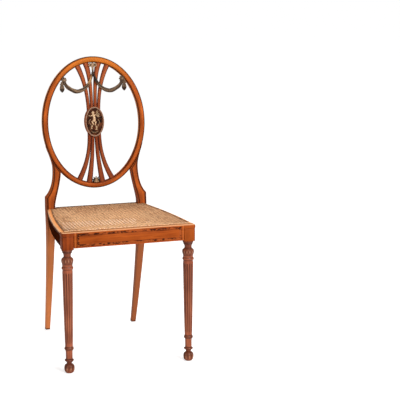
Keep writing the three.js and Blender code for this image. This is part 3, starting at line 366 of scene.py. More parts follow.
def polished_wood(
    name,
    pale,
    deep,
    stripe=1.0,
    axis=None,
    roughness=0.42,
    gloss=1.16,
    string=None,
    dark=(58, 26, 14),
    arris_shade=0.0,
    under=(),
    over=(),
    walls=(),
):
    """Polished satinwood. It follows the piece's own map, or one axis on a straight piece.

    The tones that change with height lie under or over the dark lines. The arris darkening is
    painted shade, and the wall tones change only the side walls."""
    finish, tree, shader = new_finish(name, roughness, specular=0.4, gloss=gloss)
    grain = along_axis(tree, axis) if axis else wired(tree, "ShaderNodeUVMap", uv_map="grain").outputs[0]
    figure = figured(tree, pale, deep, grain, stripe)
    colour = height_tones(tree, figure["Color"], under)
    if string:
        feeds = dict(zip(("Inset", "Width", "Arris shade"), string))
        feeds["Edge"] = wired(tree, "ShaderNodeUVMap", uv_map="edge").outputs[0]
        lines = wired(tree, "ShaderNodeGroup", feeds, node_tree=string_line).outputs
        colour = layered(tree, colour, (lines["Arris shade"], arris_shade, dark), (lines["String"], 0.85, dark))
        colour = height_tones(tree, colour, walls, lines["Wall"])
    colour = height_tones(tree, colour, over)
    dressed(tree, shader, colour, figure["Fibre"], 0.04, 0.0003)
    return finish


def tinted(finish, mask, share, over):
    """Lays one more tone over a finish that has its colour already."""
    tree = finish.node_tree
    base = tree.nodes["Principled BSDF"].inputs["Base Color"]
    tree.links.new(layered(tree, base.links[0].from_socket, (mask, share, over)), base)


# Painted light and shade on the satinwood: the hoop's crest is paler as a painted highlight, the back legs
# below the seat are paler as painted light, the hoop's upper side walls are paler as painted light, and the
# face darkens at its arrises as painted shade. It is also a little darker low down, dark at the very foot and
# dark on the walls at the top of the crest.
satinwood = polished_wood(
    "satinwood with strings",
    (204, 101, 38),
    (130, 56, 18),
    string=(0.0016, 0.001, 0.0064),
    dark=(54, 18, 6),
    arris_shade=0.92,
    under=((0.64, 0.46, 0.1, (104, 42, 14)), (0.84, 0.93, 0.5, (226, 134, 40))),
    over=((0.43, 0.30, 0.8, (246, 150, 92)), (0.0056, 0.0032, 0.85, (62, 36, 24))),
    walls=((0.60, 0.66, 0.6, (255, 176, 116)), (0.88, 0.925, 0.9, (96, 42, 14))),
)

# The right-hand back leg is painted darker below the seat, as painted shade from the seat
tree = satinwood.node_tree
x, _, z = object_axes(tree)
right_leg_shade = times(tree, ramped(tree, x, 0.1, 0.13), ramped(tree, z, 0.43, 0.38))
tinted(satinwood, right_leg_shade, 0.68, (128, 64, 38))

seat_height = 0.44
post_front = 0.132
lean = math.radians(4.3)
hoop_rise = 0.0623
hoop_half = Vector((0.1737, 0.2169))
hoop_centre = hoop_rise + hoop_half.y
clearance = 0.0003
back_place = Matrix.Translation((0, post_front, seat_height)) @ Matrix.Rotation(-lean, 4, "X")


def hoop_edge(s):
    """Half width of the hoop's outer oval at a height up the back."""
    climb = (s - hoop_centre) / hoop_half.y
    return hoop_half.x * math.sqrt(max(0.0, 1 - climb * climb))


def curve_through(p0, p1, p2, p3, steps):
    """Places on a cubic curve, as (x, height) pairs."""
    corners = [Vector(p) for p in (p0, p1, p2, p3)]
    places = []
    for n in range(steps + 1):
        t = n / steps
        shares = ((1 - t) ** 3, 3 * t * (1 - t) ** 2, 3 * t * t * (1 - t), t**3)
        places.append(sum((c * w for c, w in zip(corners, shares)), Vector((0, 0))))
    return places


def read_off(places, height):
    """The x of a line of (x, height) places at one height."""
    for a, b in zip(places, places[1:]):
        if (a.y - height) * (b.y - height) <= 0 and a.y != b.y:
            return a.x + (b.x - a.x) * (height - a.y) / (b.y - a.y)
    return places[0].x if abs(places[0].y - height) < abs(places[-1].y - height) else places[-1].x


rail_bottom = 0.3917
flare_height = 0.075
waist_height = hoop_rise + 0.0677
crotch_height = waist_height - 0.009
post_tip = waist_height + flare_height
waist_half = hoop_edge(waist_height) + 0.0175
crotch_half = hoop_edge(crotch_height)
shoulder_height = 0.038
leg_depth, post_depth, foot_depth = 0.035, 0.02006, 0.018
foot_sweep = 0.1035
neck_height = waist_height - shoulder_height
outer_seat, inner_seat, outer_foot, inner_foot = 0.1705, 0.1425, 0.1601, 0.1453
inner_knee = inner_foot + 0.3 * (inner_seat - inner_foot)
outer_post = curve_through(
    (outer_seat, shoulder_height),
    (waist_half + 0.27 * (outer_seat - waist_half), shoulder_height + 0.21 * neck_height),
    (waist_half, waist_height - 0.41 * neck_height),
    (waist_half, waist_height),
    24,
)
tip_half = hoop_edge(post_tip)
outer_post += curve_through(
    (waist_half, waist_height),
    (waist_half, waist_height + 0.3 * flare_height),
    (tip_half + 0.45 * (waist_half - tip_half), post_tip - 0.4 * flare_height),
    (tip_half, post_tip),
    24,
)[1:]
tuck = inner_seat - crotch_half
inner_post = curve_through(
    (inner_seat, 0),
    (inner_seat + 0.12 * tuck, 0.18 * crotch_height),
    (crotch_half + 0.2 * tuck, 0.58 * crotch_height),
    (crotch_half, crotch_height),
    24,
)


def leg_span(z):
    """Inner and outer face, front and rear face of the back leg at a height."""
    if z <= seat_height:
        share = max(0.0, 1 - z / rail_bottom)
        knee_height = 0.75 * rail_bottom
        if z < knee_height:
            inner = inner_foot + (inner_knee - inner_foot) * z / knee_height
        else:
            above_knee = (z - knee_height) / (rail_bottom - knee_height)
            inner = inner_knee + (inner_seat - inner_knee) * min(1.0, above_knee)
        outer = outer_foot + (outer_seat - outer_foot) * z / seat_height
        middle = post_front + leg_depth / 2 + foot_sweep * share**1.3
        half = (leg_depth + (foot_depth - leg_depth) * share**0.8) / 2
        return inner, outer, middle - half, middle + half
    s = (z - seat_height) / math.cos(lean)
    outer = outer_seat if s <= shoulder_height else read_off(outer_post, s)
    inner = read_off(inner_post, s) if s < crotch_height else hoop_edge(s) + clearance
    front = post_front + (z - seat_height) * math.tan(lean)
    thinned = min(1.0, s / 0.1)
    ease = 1 - thinned * thinned * (3 - 2 * thinned)
    settled = 0.0045 * max(0.0, 1 - (post_tip - s) / 0.06) ** 2
    rear = front + post_depth + (leg_depth - post_depth) * ease
    return inner, max(outer, inner + 0.0004), front + settled, rear


def evenly(low, high, count):
    """Values from low to high in equal steps."""
    return [low + (high - low) * n / count for n in range(count + 1)]


round_share = 0.05
square_section = []
for x, y, start in ((0, 0, 180), (1, 0, 270), (1, 1, 0), (0, 1, 90)):
    cx = round_share if x == 0 else 1 - round_share
    cy = round_share if y == 0 else 1 - round_share
    for n in range(4):
        turn = math.radians(start + 30 * n)
        square_section.append((cx + round_share * math.cos(turn), cy + round_share * math.sin(turn)))
    if (x, y) == (0, 0):
        square_section += [(0.12, 0), (0.25, 0), (0.5, 0), (0.75, 0), (0.88, 0)]

leg_heights = evenly(0, 0.43, 36) + [seat_height, 0.452, 0.465]
leg_heights += [seat_height + s * math.cos(lean) for s in (0.0379, 0.0381)]
leg_heights += [seat_height + (0.042 + 0.0034 * n) * math.cos(lean) for n in range(48)]
leg_heights.append(seat_height + post_tip * math.cos(lean))
leg_steps = []
for z in leg_heights:
    inner, outer, front, rear = leg_span(z)
    leg_steps.append(
        Matrix(((outer - inner, 0, 0, inner), (0, rear - front, 0, front), (0, 0, 1, z), (0, 0, 0, 1)))
    )
leg_shape = swept(square_section, leg_steps, front=(3, 9))
set_pair(leg_shape, "back_leg_polished", "frame_wood", satinwood, "back_leg")

# The rails under the seat, tenoned into the legs. The front one is veneered: a lighter panel
# inside a frame of crossbanding with dark flecks. The side ones are plain, darkened with
# painted shade, and bow outwards a little. The back one is polished, the corner braces are
# left as planed.
def band_mask(tree, value, middle, half, soft):
    """1 inside a band round a middle, 0 outside it, with soft sides."""
    off = worked(tree, "ABSOLUTE", worked(tree, "SUBTRACT", value, middle))
    return ramped(tree, off, half - soft, half + soft, 1.0, 0.0)


rail_half = 0.1742
front_veneer, tree, shader = new_finish("front veneer", 0.38, specular=0.28, gloss=1.2)
x, y, z = object_axes(tree)
away = worked(tree, "ABSOLUTE", x)
rail_figure = figured(tree, (184, 88, 30), (132, 54, 14), along_axis(tree, "X"))
block_figure = figured(tree, (158, 70, 26), (110, 42, 14), along_axis(tree, "Z"))
# Crossbanding along the foot and the top of the rail and up its ends, and the strings beside it
low_band = band_mask(tree, z, 0.3998, 0.0032, 0.0004)
high_band = band_mask(tree, z, 0.4331, 0.0032, 0.0004)
end_band = band_mask(tree, away, rail_half - 0.0128, 0.0034, 0.0004)
inside = band_mask(tree, z, 0.41645, 0.0198, 0.0003)
long_reach = band_mask(tree, away, 0, rail_half - 0.0094, 0.0003)
long_bands = times(tree, worked(tree, "MAXIMUM", low_band, high_band), long_reach)
cross_bands = worked(tree, "MAXIMUM", long_bands, times(tree, end_band, inside))
flecks = ramped(tree, noisy(tree, object_place(tree), (120, 40, 200), 2), 0.45, 0.57)
banding = mixed_tone(tree, flecks, tone(164, 78, 34), tone(60, 22, 8))
colour = mixed_tone(tree, cross_bands, rail_figure["Color"], banding)
strings = [band_mask(tree, z, level, 0.0003, 0.0002) for level in (0.3962, 0.4034, 0.4295)]
strings = worked(tree, "MAXIMUM", strings[0], worked(tree, "MAXIMUM", *strings[1:]))
colour = layered(tree, colour, (times(tree, strings, long_reach), 0.7, (48, 18, 8)))
# The blocks over the legs, the right-hand one lighter as painted light, and the joints beside
# them; painted shade on the blocks' outer corners, and painted highlights along the top, palest
# at its front edge, and along the foot of the rail
block_tone = layered(tree, block_figure["Color"], (ramped(tree, x, -0.1, 0.1), 0.3, (204, 104, 34)))
colour = mixed_tone(tree, ramped(tree, away, rail_half - 0.0004, rail_half), colour, block_tone)
for across, half, line_tone in (
    (rail_half - 0.0082, 0.0007, (74, 28, 10)),
    (rail_half - 0.0034, 0.0009, (190, 108, 58)),
    (rail_half + 0.0002, 0.0006, (86, 34, 12)),
    (0.2090, 0.0010, (110, 46, 18)),
):
    colour = layered(tree, colour, (band_mask(tree, away, across, half, 0.0003), 0.8, line_tone))
top_highlight = times(tree, ramped(tree, z, 0.4394, 0.4399), 0.85)
top_highlight_tone = mixed_tone(tree, ramped(tree, y, -0.2560, -0.2535), tone(250, 198, 146), tone(208, 142, 92))
colour = mixed_tone(tree, top_highlight, colour, top_highlight_tone)
on_rail = ramped(tree, away, rail_half, rail_half - 0.0004)
low_highlight = times(tree, ramped(tree, z, 0.3934, 0.3922), on_rail)
colour = layered(tree, colour, (low_highlight, 0.5, (204, 98, 70)))
dressed(tree, shader, colour, rail_figure["Fibre"], 0.1, 0.0004)


def squared_block(low, high):
    """A block of wood between two corners."""
    bm = bmesh.new()
    bmesh.ops.create_cube(bm, size=1)
    bmesh.ops.scale(bm, vec=Vector(high) - Vector(low), verts=bm.verts)
    bmesh.ops.translate(bm, vec=(Vector(low) + Vector(high)) / 2, verts=bm.verts)
    return bm


def bevelled(bm, edges, offset, segments):
    bmesh.ops.bevel(
        bm, geom=edges, offset=offset, segments=segments, profile=0.5, affect="EDGES", material=-1
    )


rail_top = 0.4277
front_rail = squared_block((-rail_half, -0.2605, rail_bottom), (rail_half, -0.2365, rail_top))
bevelled(front_rail, front_rail.edges[:], 0.0007, 2)
set_piece(front_rail, "front_rail_veneered", "frame_wood", front_veneer, "front_seat_rail")

seat_front = -0.262
front_half, back_half, side_bow = 0.212, 0.169, 0.0083


def seat_half(y):
    """Half width of the seat's edge at a place y in the chair's frame."""
    share = (y - seat_front) / (post_front - seat_front)
    return front_half + (back_half - front_half) * share + side_bow * 4 * share * (1 - share)


shaded_rail = polished_wood("shaded side rail", (84, 33, 12), (48, 18, 6), gloss=1.0)
block_rear, post_near = -0.2242, post_front - clearance
side_steps = []
for y in evenly(block_rear, post_near, 24):
    side_steps.append(
        Matrix.Translation((seat_half(y) - 0.014, y, (rail_bottom + rail_top) / 2))
        @ Matrix.Rotation(math.pi / 2, 4, "X")
        @ Matrix.Diagonal((0.022, rail_top - rail_bottom, 1, 1))
    )
side_section = [(x - 0.5, y - 0.5) for x, y in square_section]
set_pair(swept(side_section, side_steps), "side_rail_shaded", "frame_wood", shaded_rail, "side_rail")


def refinished(node, finish):
    """Gives its finish to a CAD solid that is kept as it is."""
    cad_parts[node].data.materials.clear()
    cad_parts[node].data.materials.append(finish)


back_wood = polished_wood("back satinwood", (150, 84, 42), (104, 50, 22), axis="X", stripe=0.8)
refinished("back_seat_rail", back_wood)
bare_wood = polished_wood("planed inner wood", (196, 148, 98), (150, 100, 60), axis="X", roughness=0.7)
for corner in ("right_front", "left_front", "right_back", "left_back"):
    refinished(corner + "_corner_brace", bare_wood)

# The front legs. Each is turned from one square of wood: the block that takes the rails is
# left square with rounded corners, then come carved collars, a tapering shaft with twelve
# flutes, an ankle and a ball foot cut with leaves.
def marked(tree, name):
    """How strongly the points of a shape are marked under a name."""
    return wired(tree, "ShaderNodeAttribute", attribute_name=name).outputs["Fac"]


leg_wood, tree, shader = new_finish("turned leg wood", 0.36, 0.1, coat_roughness=0.18, specular=0.35)
leg_figure = figured(tree, (208, 120, 82), (148, 76, 50), along_axis(tree, "Z"), 0.8)
# Painted shade in the flutes, grooves and rings, painted highlights on the fillets and the high places of the
# carving, and painted shade over the right-hand leg
colour = layered(
    tree,
    leg_figure["Color"],
    (marked(tree, "painted_shade"), 0.9, (54, 20, 12)),
    (marked(tree, "painted_highlight"), 0.55, (222, 160, 122)),
    (ramped(tree, object_axes(tree)[0], -0.1, 0.1), 0.16, (70, 30, 18)),
)
dressed(tree, shader, colour, leg_figure["Fibre"], 0.12, 0.0004)


def smooth_line(places, steps=4):
    """Places spaced along a smooth line through a few given ones."""
    line = []
    for n in range(len(places) - 1):
        a, b, c, d = (Vector(places[min(max(n + k, 0), len(places) - 1)]) for k in (-1, 0, 1, 2))
        bend, swing = 2 * a - 5 * b + 4 * c - d, 3 * b - a - 3 * c + d
        for k in range(steps):
            t = k / steps
            line.append(0.5 * (2 * b + (c - a) * t + bend * t * t + swing * t**3))
    return line + [Vector(places[-1])]


def turned(profile, steps):
    """A body turned round the Z axis from its (radius, height) profile."""
    bm = bmesh.new()
    rough = [bm.verts.new((r, 0, z)) for r, z in profile]
    lines = [bm.edges.new(pair) for pair in zip(rough, rough[1:])]
    bmesh.ops.spin(
        bm,
        geom=rough + lines,
        cent=(0, 0, 0),
        axis=(0, 0, 1),
        angle=2 * math.pi,
        steps=steps,
        use_merge=True,
    )
    bmesh.ops.remove_doubles(bm, verts=bm.verts, dist=1e-6)
    return bm


# Profile of the leg from the floor up, as smooth runs of (radius, height) in millimetres
leg_runs = [
    [(10, 0), (12.7, 2.6), (15.2, 7), (16.2, 15.8), (14.9, 22.9), (10.5, 27.3)],
    [(7.6, 29.6), (7.6, 30.6)],
    [(8.1, 33), (10.9, 36), (13.2, 37.8)],
    [(13.5, 38.4), (14.3, 40), (13.5, 41.8)],
    [(10.8, 43.2), (10.5, 45), (10.4, 56), (10.5, 67), (11.2, 71.2)],
    [(13.5, 74), (14.4, 77), (13.8, 79.8)],
    [(12.1, 82.3), (11.8, 88)],
]
shaft_low, shaft_high = 0.088, 0.3137
collar_runs = [
    [(16, 313.7), (16.1, 318.6)],
    [(15.5, 320.4), (15.4, 323), (15.6, 325.4)],
    [(17.3, 327.2), (18, 329.9), (17.3, 332.6)],
    [(15.7, 334.6), (15.6, 337.5), (15.9, 341.5)],
    [(16.9, 344.5), (18.4, 349), (18.8, 354), (17.7, 358.6), (14.2, 361.6)],
    [(11.6, 364), (11.2, 367), (11.3, 370.6), (12.2, 374)],
    [(13.8, 376.4), (14.9, 378.8), (14.2, 380.6)],
    [(16.2, 382.2), (17.2, 384.4), (17, 387.9)],
]
shaft_run = [
    (11.8 + 4.2 * rise**0.8, 1000 * (shaft_low + (shaft_high - shaft_low) * rise))
    for rise in evenly(0, 1, 60)[1:-1]
]
profile = [(0, 0)]
for run in [smooth_line(run) for run in leg_runs] + [shaft_run] + [smooth_line(run) for run in collar_runs]:
    profile += [(r / 1000, z / 1000) for r, z in run]
profile.append((0, profile[-1][1]))

leg_centre = Vector((0.1925, -0.2425, 0))
turning = turned(profile, 144)
shade_layer = turning.verts.layers.float.new("painted_shade")
highlight_layer = turning.verts.layers.float.new("painted_highlight")


def bump_between(z, low, high):
    """Rises from nothing at two heights to 1 midway between them."""
    return math.sin(math.pi * (z - low) / (high - low)) if low < z < high else 0.0


flutes = 12
flute_low, flute_high = shaft_low + 0.006, shaft_high + 0.002
flute_depth = 0.0018
capital_low, capital_high, capital_middle = 0.3435, 0.3625, 0.353
ball_low, ball_high = 0.004, 0.0275
# The flutes and carving are cut, and marked with painted shade in their hollows and painted highlights on
# their high places
for vert in turning.verts:
    x, y, z = vert.co
    radius = math.hypot(x, y)
    if radius < 1e-5:
        continue
    angle = math.atan2(y, x)
    turn = angle * flutes / (2 * math.pi)
    off = abs(turn - round(turn))
    cut = 0.0
    if flute_low < z < flute_high:
        ends = min(z - flute_low, flute_high - z) / 0.005
        width = 0.39 * math.sqrt(max(0.0, 1 - (1 - min(1.0, ends)) ** 2))
        if off < width:
            cut = flute_depth * math.sqrt(1 - (off / width) ** 2) * (radius / 0.016)
            vert[shade_layer] = 0.8 * cut / flute_depth
        elif off > 0.43:
            vert[highlight_layer] = 0.5
    leaf = bump_between(z, capital_low, capital_high)
    if leaf:
        leaves = 0.5 + 0.5 * math.cos(angle * 12) * math.cos((z - capital_middle) * 260)
        groove = (1 - leaves) ** 2
        cut += 0.0016 * groove * leaf
        vert[shade_layer] = max(0.5, min(0.85, 1.1 * groove * leaf))
        vert[highlight_layer] = leaves**3 * leaf
    foot_leaf = bump_between(z, ball_low, ball_high)
    if foot_leaf:
        petals = 0.5 + 0.5 * math.cos(angle * 8 + (z - ball_low) * 60)
        groove = (1 - petals) ** 3
        cut += 0.0019 * groove * foot_leaf
        upper = min(1.0, max(0.0, (z - 0.0145) / 0.004))
        vert[shade_layer] = max(0.42 + 0.34 * upper, groove * foot_leaf)
        vert[highlight_layer] = petals**4 * foot_leaf * (1 if z < 0.0165 else 0.35)
    vert.co.x -= cut * math.cos(angle)
    vert.co.y -= cut * math.sin(angle)
# Painted shade in the rings between the turned collars
for low, high, share in (
    (0.0295, 0.0312, 0.8),
    (0.033, 0.0427, 0.65),
    (0.0427, 0.0452, 0.8),
    (0.0735, 0.0805, 0.65),
    (0.0815, 0.084, 0.8),
    (0.3245, 0.3275, 0.6),
    (0.3325, 0.335, 0.6),
    (0.3415, 0.3445, 0.7),
    (0.3625, 0.3665, 0.8),
    (0.3665, 0.3765, 0.42),
    (0.3765, 0.3830, 0.8),
    (0.3830, 0.3880, 0.5),
):
    for vert in turning.verts:
        if low < vert.co.z < high:
            vert[shade_layer] = share
bmesh.ops.translate(turning, vec=leg_centre, verts=turning.verts)
set_pair(turning, "front_leg_turned", "leg_wood", leg_wood, "front_leg", crease=40)


def rise_of(edge):
    return abs(edge.verts[0].co.z - edge.verts[1].co.z)


block_size, block_bottom = 0.036, 0.3877
block_low = leg_centre + Vector((-block_size / 2, -block_size / 2, block_bottom))
block = squared_block(block_low, block_low + Vector((block_size, block_size, rail_top - block_bottom)))
bevelled(block, [e for e in block.edges if rise_of(e) > 0.01], 0.004, 5)
rims = [e for e in block.edges if rise_of(e) < 1e-6 and e.calc_face_angle(0) > 1]
bevelled(block, rims, 0.0008, 2)
set_pair(block, "front_leg_block", "leg_wood", front_veneer)

# The seat frame: four members of satinwood glued on the rails, 12 mm thick, with a
# rounded lip that stands out over them. The cane is laced to it.
# The side members are pale as a painted highlight on the rounded lip, orange on the top face, and dark on
# their lower face as painted shade, like the rail below
lip_wood = polished_wood(
    "lip satinwood",
    (255, 212, 168),
    (250, 180, 126),
    axis="Y",
    stripe=0.8,
    gloss=1.08,
    over=((0.4392, 0.4399, 0.8, (238, 152, 86)), (0.4364, 0.4352, 1.0, (84, 33, 12))),
)
lip_sole = seat_height - 0.012


def lipped(outline, is_outer, rounding):
    """A flat member raised from its outline, its outer edges rounded over."""
    bm = bmesh.new()
    sole = bm.faces.new([bm.verts.new((x, y, lip_sole)) for x, y in outline])
    grown = bmesh.ops.extrude_face_region(bm, geom=[sole])["geom"]
    raised = [g for g in grown if isinstance(g, bmesh.types.BMVert)]
    bmesh.ops.translate(bm, vec=(0, 0, seat_height - lip_sole), verts=raised)
    bmesh.ops.recalc_face_normals(bm, faces=bm.faces)
    for level, offset, segments in ((seat_height, rounding, 6), (lip_sole, rounding * 0.5, 4)):
        rims = []
        for e in bm.edges:
            middle = (e.verts[0].co + e.verts[1].co) / 2
            if rise_of(e) < 1e-6 and abs(middle.z - level) < 1e-4 and is_outer(middle):
                rims.append(e)
        bevelled(bm, rims, offset, segments)
    return bm


front_member_rear = -0.231
corner_x, corner_y, corner_round, corner_steps = 0.205, -0.255, 0.007, 8
front_outline = []
for n in range(corner_steps + 1):
    turn = math.pi / 2 * n / corner_steps
    front_outline.append((corner_x + corner_round * math.sin(turn), corner_y - corner_round * math.cos(turn)))
front_outline.append((seat_half(front_member_rear), front_member_rear))
front_outline = [(-x, y) for x, y in reversed(front_outline)] + front_outline
front_lip = lipped(front_outline, lambda p: p.y < front_member_rear - 0.0005, 0.003)
set_piece(front_lip, "front_seat_lip", "frame_wood", front_veneer, "front_seat_frame")
side_front = front_member_rear + clearance
side_ys = evenly(side_front, post_near, 32)
side_outline = [(seat_half(y), y) for y in side_ys]
side_member_width = 0.024
side_outline += [(seat_half(y) - side_member_width, y) for y in reversed(side_ys)]


def on_side_edge(p):
    return abs(p.x - seat_half(p.y)) < 0.0005 and side_front < p.y - 0.0002 and p.y + 0.0002 < post_near


lip_round = 0.0052
set_pair(lipped(side_outline, on_side_edge, lip_round), "side_seat_lip", "frame_wood", lip_wood, "seat_frame")
back_reach, back_near, back_far = inner_seat - clearance, 0.138, 0.164
back_outline = [
    (back_reach, back_far),
    (-back_reach, back_far),
    (-back_reach, back_near),
    (back_reach, back_near),
]
back_lip = lipped(back_outline, lambda p: p.y > back_far - 0.0002, lip_round)
set_piece(back_lip, "back_seat_lip", "frame_wood", back_wood, "back_seat_frame")

# The hoop of the back: four curved satinwood pieces joined end to end, with a low crown,
# dark strings near both edges, painted shade on the arrises beside them, and the fibres
# running round the oval.
inner_half = Vector((0.1542, 0.1974))
inner_centre = hoop_centre - 0.001
hoop_section = [(u, 0.0045 * abs(2 * u - 1) ** 2.6) for u in (0, 0.03, 0.08, 0.15, 0.25, 0.37, 0.5)]
hoop_section += [(1 - u, y) for u, y in reversed(hoop_section[:-1])]
hoop_front = (0, len(hoop_section) - 1)
hoop_section += [(1, 0.0172), (0.97, 0.0192), (0.91, 0.02), (0.09, 0.02), (0.03, 0.0192), (0, 0.0172)]


def squared(across, rise, onward, place):
    """A matrix that takes x, y and z to three directions and the origin to a place."""
    return Matrix.Translation(place) @ Matrix((across, rise, onward)).transposed().to_4x4()


def hoop_step(turn):
    """Lays the section across the band: its x from the inner oval out to the outer one."""
    cos, sin = math.cos(turn), math.sin(turn)
    inner = Vector((inner_half.x * cos, 0, inner_centre + inner_half.y * sin))
    outer = Vector((hoop_half.x * cos, 0, hoop_centre + hoop_half.y * sin))
    onward = Vector((-hoop_half.x * sin, 0, hoop_half.y * cos)).normalized()
    return back_place @ squared(outer - inner, (0, 1, 0), onward, inner)


def hoop_piece(start, end):
    """A quarter or so of the hoop between two angles, short of each joint by half its gap."""
    trim = math.degrees(clearance / 2 / hoop_half.y)
    turns = evenly(start + trim, end - trim, 44)
    return swept(hoop_section, [hoop_step(math.radians(t)) for t in turns], front=hoop_front)


set_piece(hoop_piece(48, 132), "hoop_crest_polished", "frame_wood", satinwood, "hoop_crest")
set_piece(hoop_piece(-132, -48), "hoop_foot_polished", "frame_wood", satinwood, "hoop_foot")
set_pair(hoop_piece(-48, 48), "hoop_side_polished", "frame_wood", satinwood, "hoop_side")

# The bars of the splat: eight slender curved strips, wide at the hoop and narrow at the
# medallion, each moulded with a low round between two dark quirks, with painted shade on the
# arrises of its face. The bars below the medallion are darker.
bar_wood = polished_wood(
    "bar satinwood",
    (194, 104, 57),
    (120, 50, 25),
    string=(0.0009, 0.0008, 0.0026),
    dark=(66, 22, 12),
    arris_shade=0.85,
    under=((0.72, 0.66, 0.4, (96, 34, 14)),),
)
medallion_half = Vector((0.0324, 0.0498))
medallion_centre = hoop_centre + 0.0025
bar_lines = {
    "upper_outer_bar": ((1.75, 1.02), (1.10, 0.76), (0.58, 0.42), (0.53, -0.105)),
    "upper_inner_bar": ((0.72, 1.02), (0.31, 0.78), (0.22, 0.5), (0.18, -0.04)),
    "lower_outer_bar": ((2.02, 1.04), (0.79, 0.61), (0.54, 0.3), (0.53, -0.1)),
    "lower_inner_bar": ((0.73, 1.04), (0.36, 0.61), (0.19, 0.28), (0.18, -0.1)),
}
bar_section = [(-0.5, 0.0042), (-0.44, 0.0037), (-0.34, 0.0039), (-0.24, 0.0035), (-0.12, 0.0032)]
bar_section.append((0, 0.0031))
bar_section += [(-x, y) for x, y in reversed(bar_section[:-1])]
bar_front = (0, len(bar_section) - 1)
bar_section += [(0.5, 0.0118), (0.42, 0.0125), (-0.42, 0.0125), (-0.5, 0.0118)]


def heading(places, n):
    """The direction of a line of places at one of them."""
    before, after = places[max(n - 1, 0)], places[min(n + 1, len(places) - 1)]
    return (Vector(after) - Vector(before)).normalized()


def across_line(places, n, depth):
    """Lays a section across a line of (x, height) places on the back."""
    ahead = heading(places, n)
    x, z = places[n]
    return back_place @ squared((-ahead.y, 0, ahead.x), (0, 1, 0), (ahead.x, 0, ahead.y), (x, depth, z))


bar_steps = 48
for bar, shares in bar_lines.items():
    way = 1 if bar.startswith("upper") else -1
    start = medallion_centre + way * medallion_half.y
    end = inner_centre + way * inner_half.y
    line = [(x * medallion_half.x, start + (end - start) * s) for x, s in shares]
    places = curve_through(*line, bar_steps)
    steps = []
    for n, place in enumerate(places):
        reach = (place.x / inner_half.x) ** 2 + ((place.y - inner_centre) / inner_half.y) ** 2
        width = 0.0100 + 0.0088 * (1 - n / bar_steps) ** 2
        if reach <= 1.09:
            steps.append(across_line(places, n, 0) @ Matrix.Diagonal((width, 1, 1, 1)))
    set_pair(swept(bar_section, steps, front=bar_front), bar + "_moulded", "frame_wood", bar_wood, bar)

# The medallion: an oval of wood with a rim of small carved and painted beads round a
# sunk panel, its back turned flat.
rim_paint, tree, shader = new_finish("rim paint", 0.5, specular=0.3)
patches = noisy(tree, object_place(tree), 260, 3)
colour = mixed_tone(tree, patches, tone(124, 100, 82), tone(184, 152, 130))
dressed(tree, shader, colour, patches, 0.3, 0.0004)
medallion_wood = polished_wood("medallion satinwood", (208, 114, 56), (150, 70, 30), axis="Z")
tinted(medallion_wood, marked(medallion_wood.node_tree, "painted"), 0.6, (128, 92, 68))


def oval_step(turn):
    """Lays the section outwards from the medallion's oval, its x in metres beyond it."""
    cos, sin = math.cos(turn), math.sin(turn)
    place = (medallion_half.x * cos, 0, medallion_centre + medallion_half.y * sin)
    return back_place @ squared((cos, 0, sin), (0, 1, 0), (-sin, 0, cos), place)


oval_steps = [oval_step(turn) for turn in evenly(0, 2 * math.pi, 96)[:-1]]
frame_section = [
    (-0.0062, -0.0013),
    (-0.0056, -0.0016),
    (-0.0052, -0.0036),
    (-0.0047, -0.0044),
    (-0.0041, -0.0040),
    (-0.0024, -0.0038),
    (-0.0008, -0.0042),
    (-0.0002, -0.0034),
    (0.0, -0.0020),
    (0.0, 0.0124),
    (-0.0004, 0.0136),
    (-0.0014, 0.0140),
]
medal_bm = swept(frame_section, oval_steps, closed=True, open_section=True)
painted_layer = medal_bm.verts.layers.float.new("painted")
for vert in medal_bm.verts:
    vert[painted_layer] = 1.0 if vert[medal_bm.verts.layers.int["point"]] <= 7 else 0.0
set_piece(medal_bm, "medallion_frame_turned", "frame_wood", medallion_wood, "medallion_frame")
beads = bmesh.new()
for turn in evenly(0, 2 * math.pi, 62)[:-1]:
    place = oval_step(turn) @ Vector((-0.0028, -0.0040, 0))
    bmesh.ops.create_icosphere(beads, subdivisions=2, radius=0.0020, matrix=Matrix.Translation(place))
set_piece(beads, "medallion_beads", "painted_wood", rim_paint)

# The panel in the medallion: painted nearly black with warmer patches, with a small
# winged child and leaf scrolls modelled on it in low relief and picked out in cream.
ground_paint, tree, shader = new_finish("medallion ground", 0.6, specular=0.12)
patches = ramped(tree, noisy(tree, object_place(tree), 90, 4), 0.35, 0.7)
dressed(tree, shader, mixed_tone(tree, patches, tone(16, 6, 3), tone(104, 54, 28)))
panel_edge = -0.0053
panel_section = [(panel_edge, 0.0032), (panel_edge, 0.0003), (panel_edge, -0.0016), (-0.013, -0.0024)]
panel_section.append((-0.022, -0.0026))
panel_bm = swept(panel_section, oval_steps, closed=True, open_section=True)
set_piece(panel_bm, "medallion_panel_painted", "medallion_ground", ground_paint, "medallion_panel")

cream_paint, tree, shader = new_finish("cream relief paint", 0.55, specular=0.2)
patches = ramped(tree, noisy(tree, object_place(tree), 420, 3), 0.35, 0.65)
colour = mixed_tone(tree, patches, tone(160, 116, 78), tone(252, 218, 176))
colour = layered(tree, colour, (marked(tree, "muted"), 0.6, (140, 112, 76)))
dressed(tree, shader, mixed_tone(tree, marked(tree, "painted_shade"), colour, tone(58, 26, 14)))


def rounded(bm, place, size):
    """One rounded form of the carving: where it is and its three half sizes."""
    matrix = place @ Matrix.Diagonal((*size, 1))
    return bmesh.ops.create_icosphere(bm, subdivisions=3, radius=1, matrix=matrix)["verts"]


figure = bmesh.new()
figure_muted = figure.verts.layers.float.new("muted")


def relief_lump(x, z, width, height, turn=0.0, muted=0.0):
    """One rounded form of the relief: a place and half sizes in units of 1.5 mm, and more."""
    unit = 0.0015
    place = (
        back_place
        @ Matrix.Translation((x * 0.00145, -0.0022, medallion_centre + z * unit))
        @ Matrix.Rotation(-math.radians(turn), 4, "Y")
    )
    thick = min(0.0034, min(width, height) * 0.0012 + 0.0004)
    for vert in rounded(figure, place, (width * unit, thick, height * unit)):
        vert[figure_muted] = muted


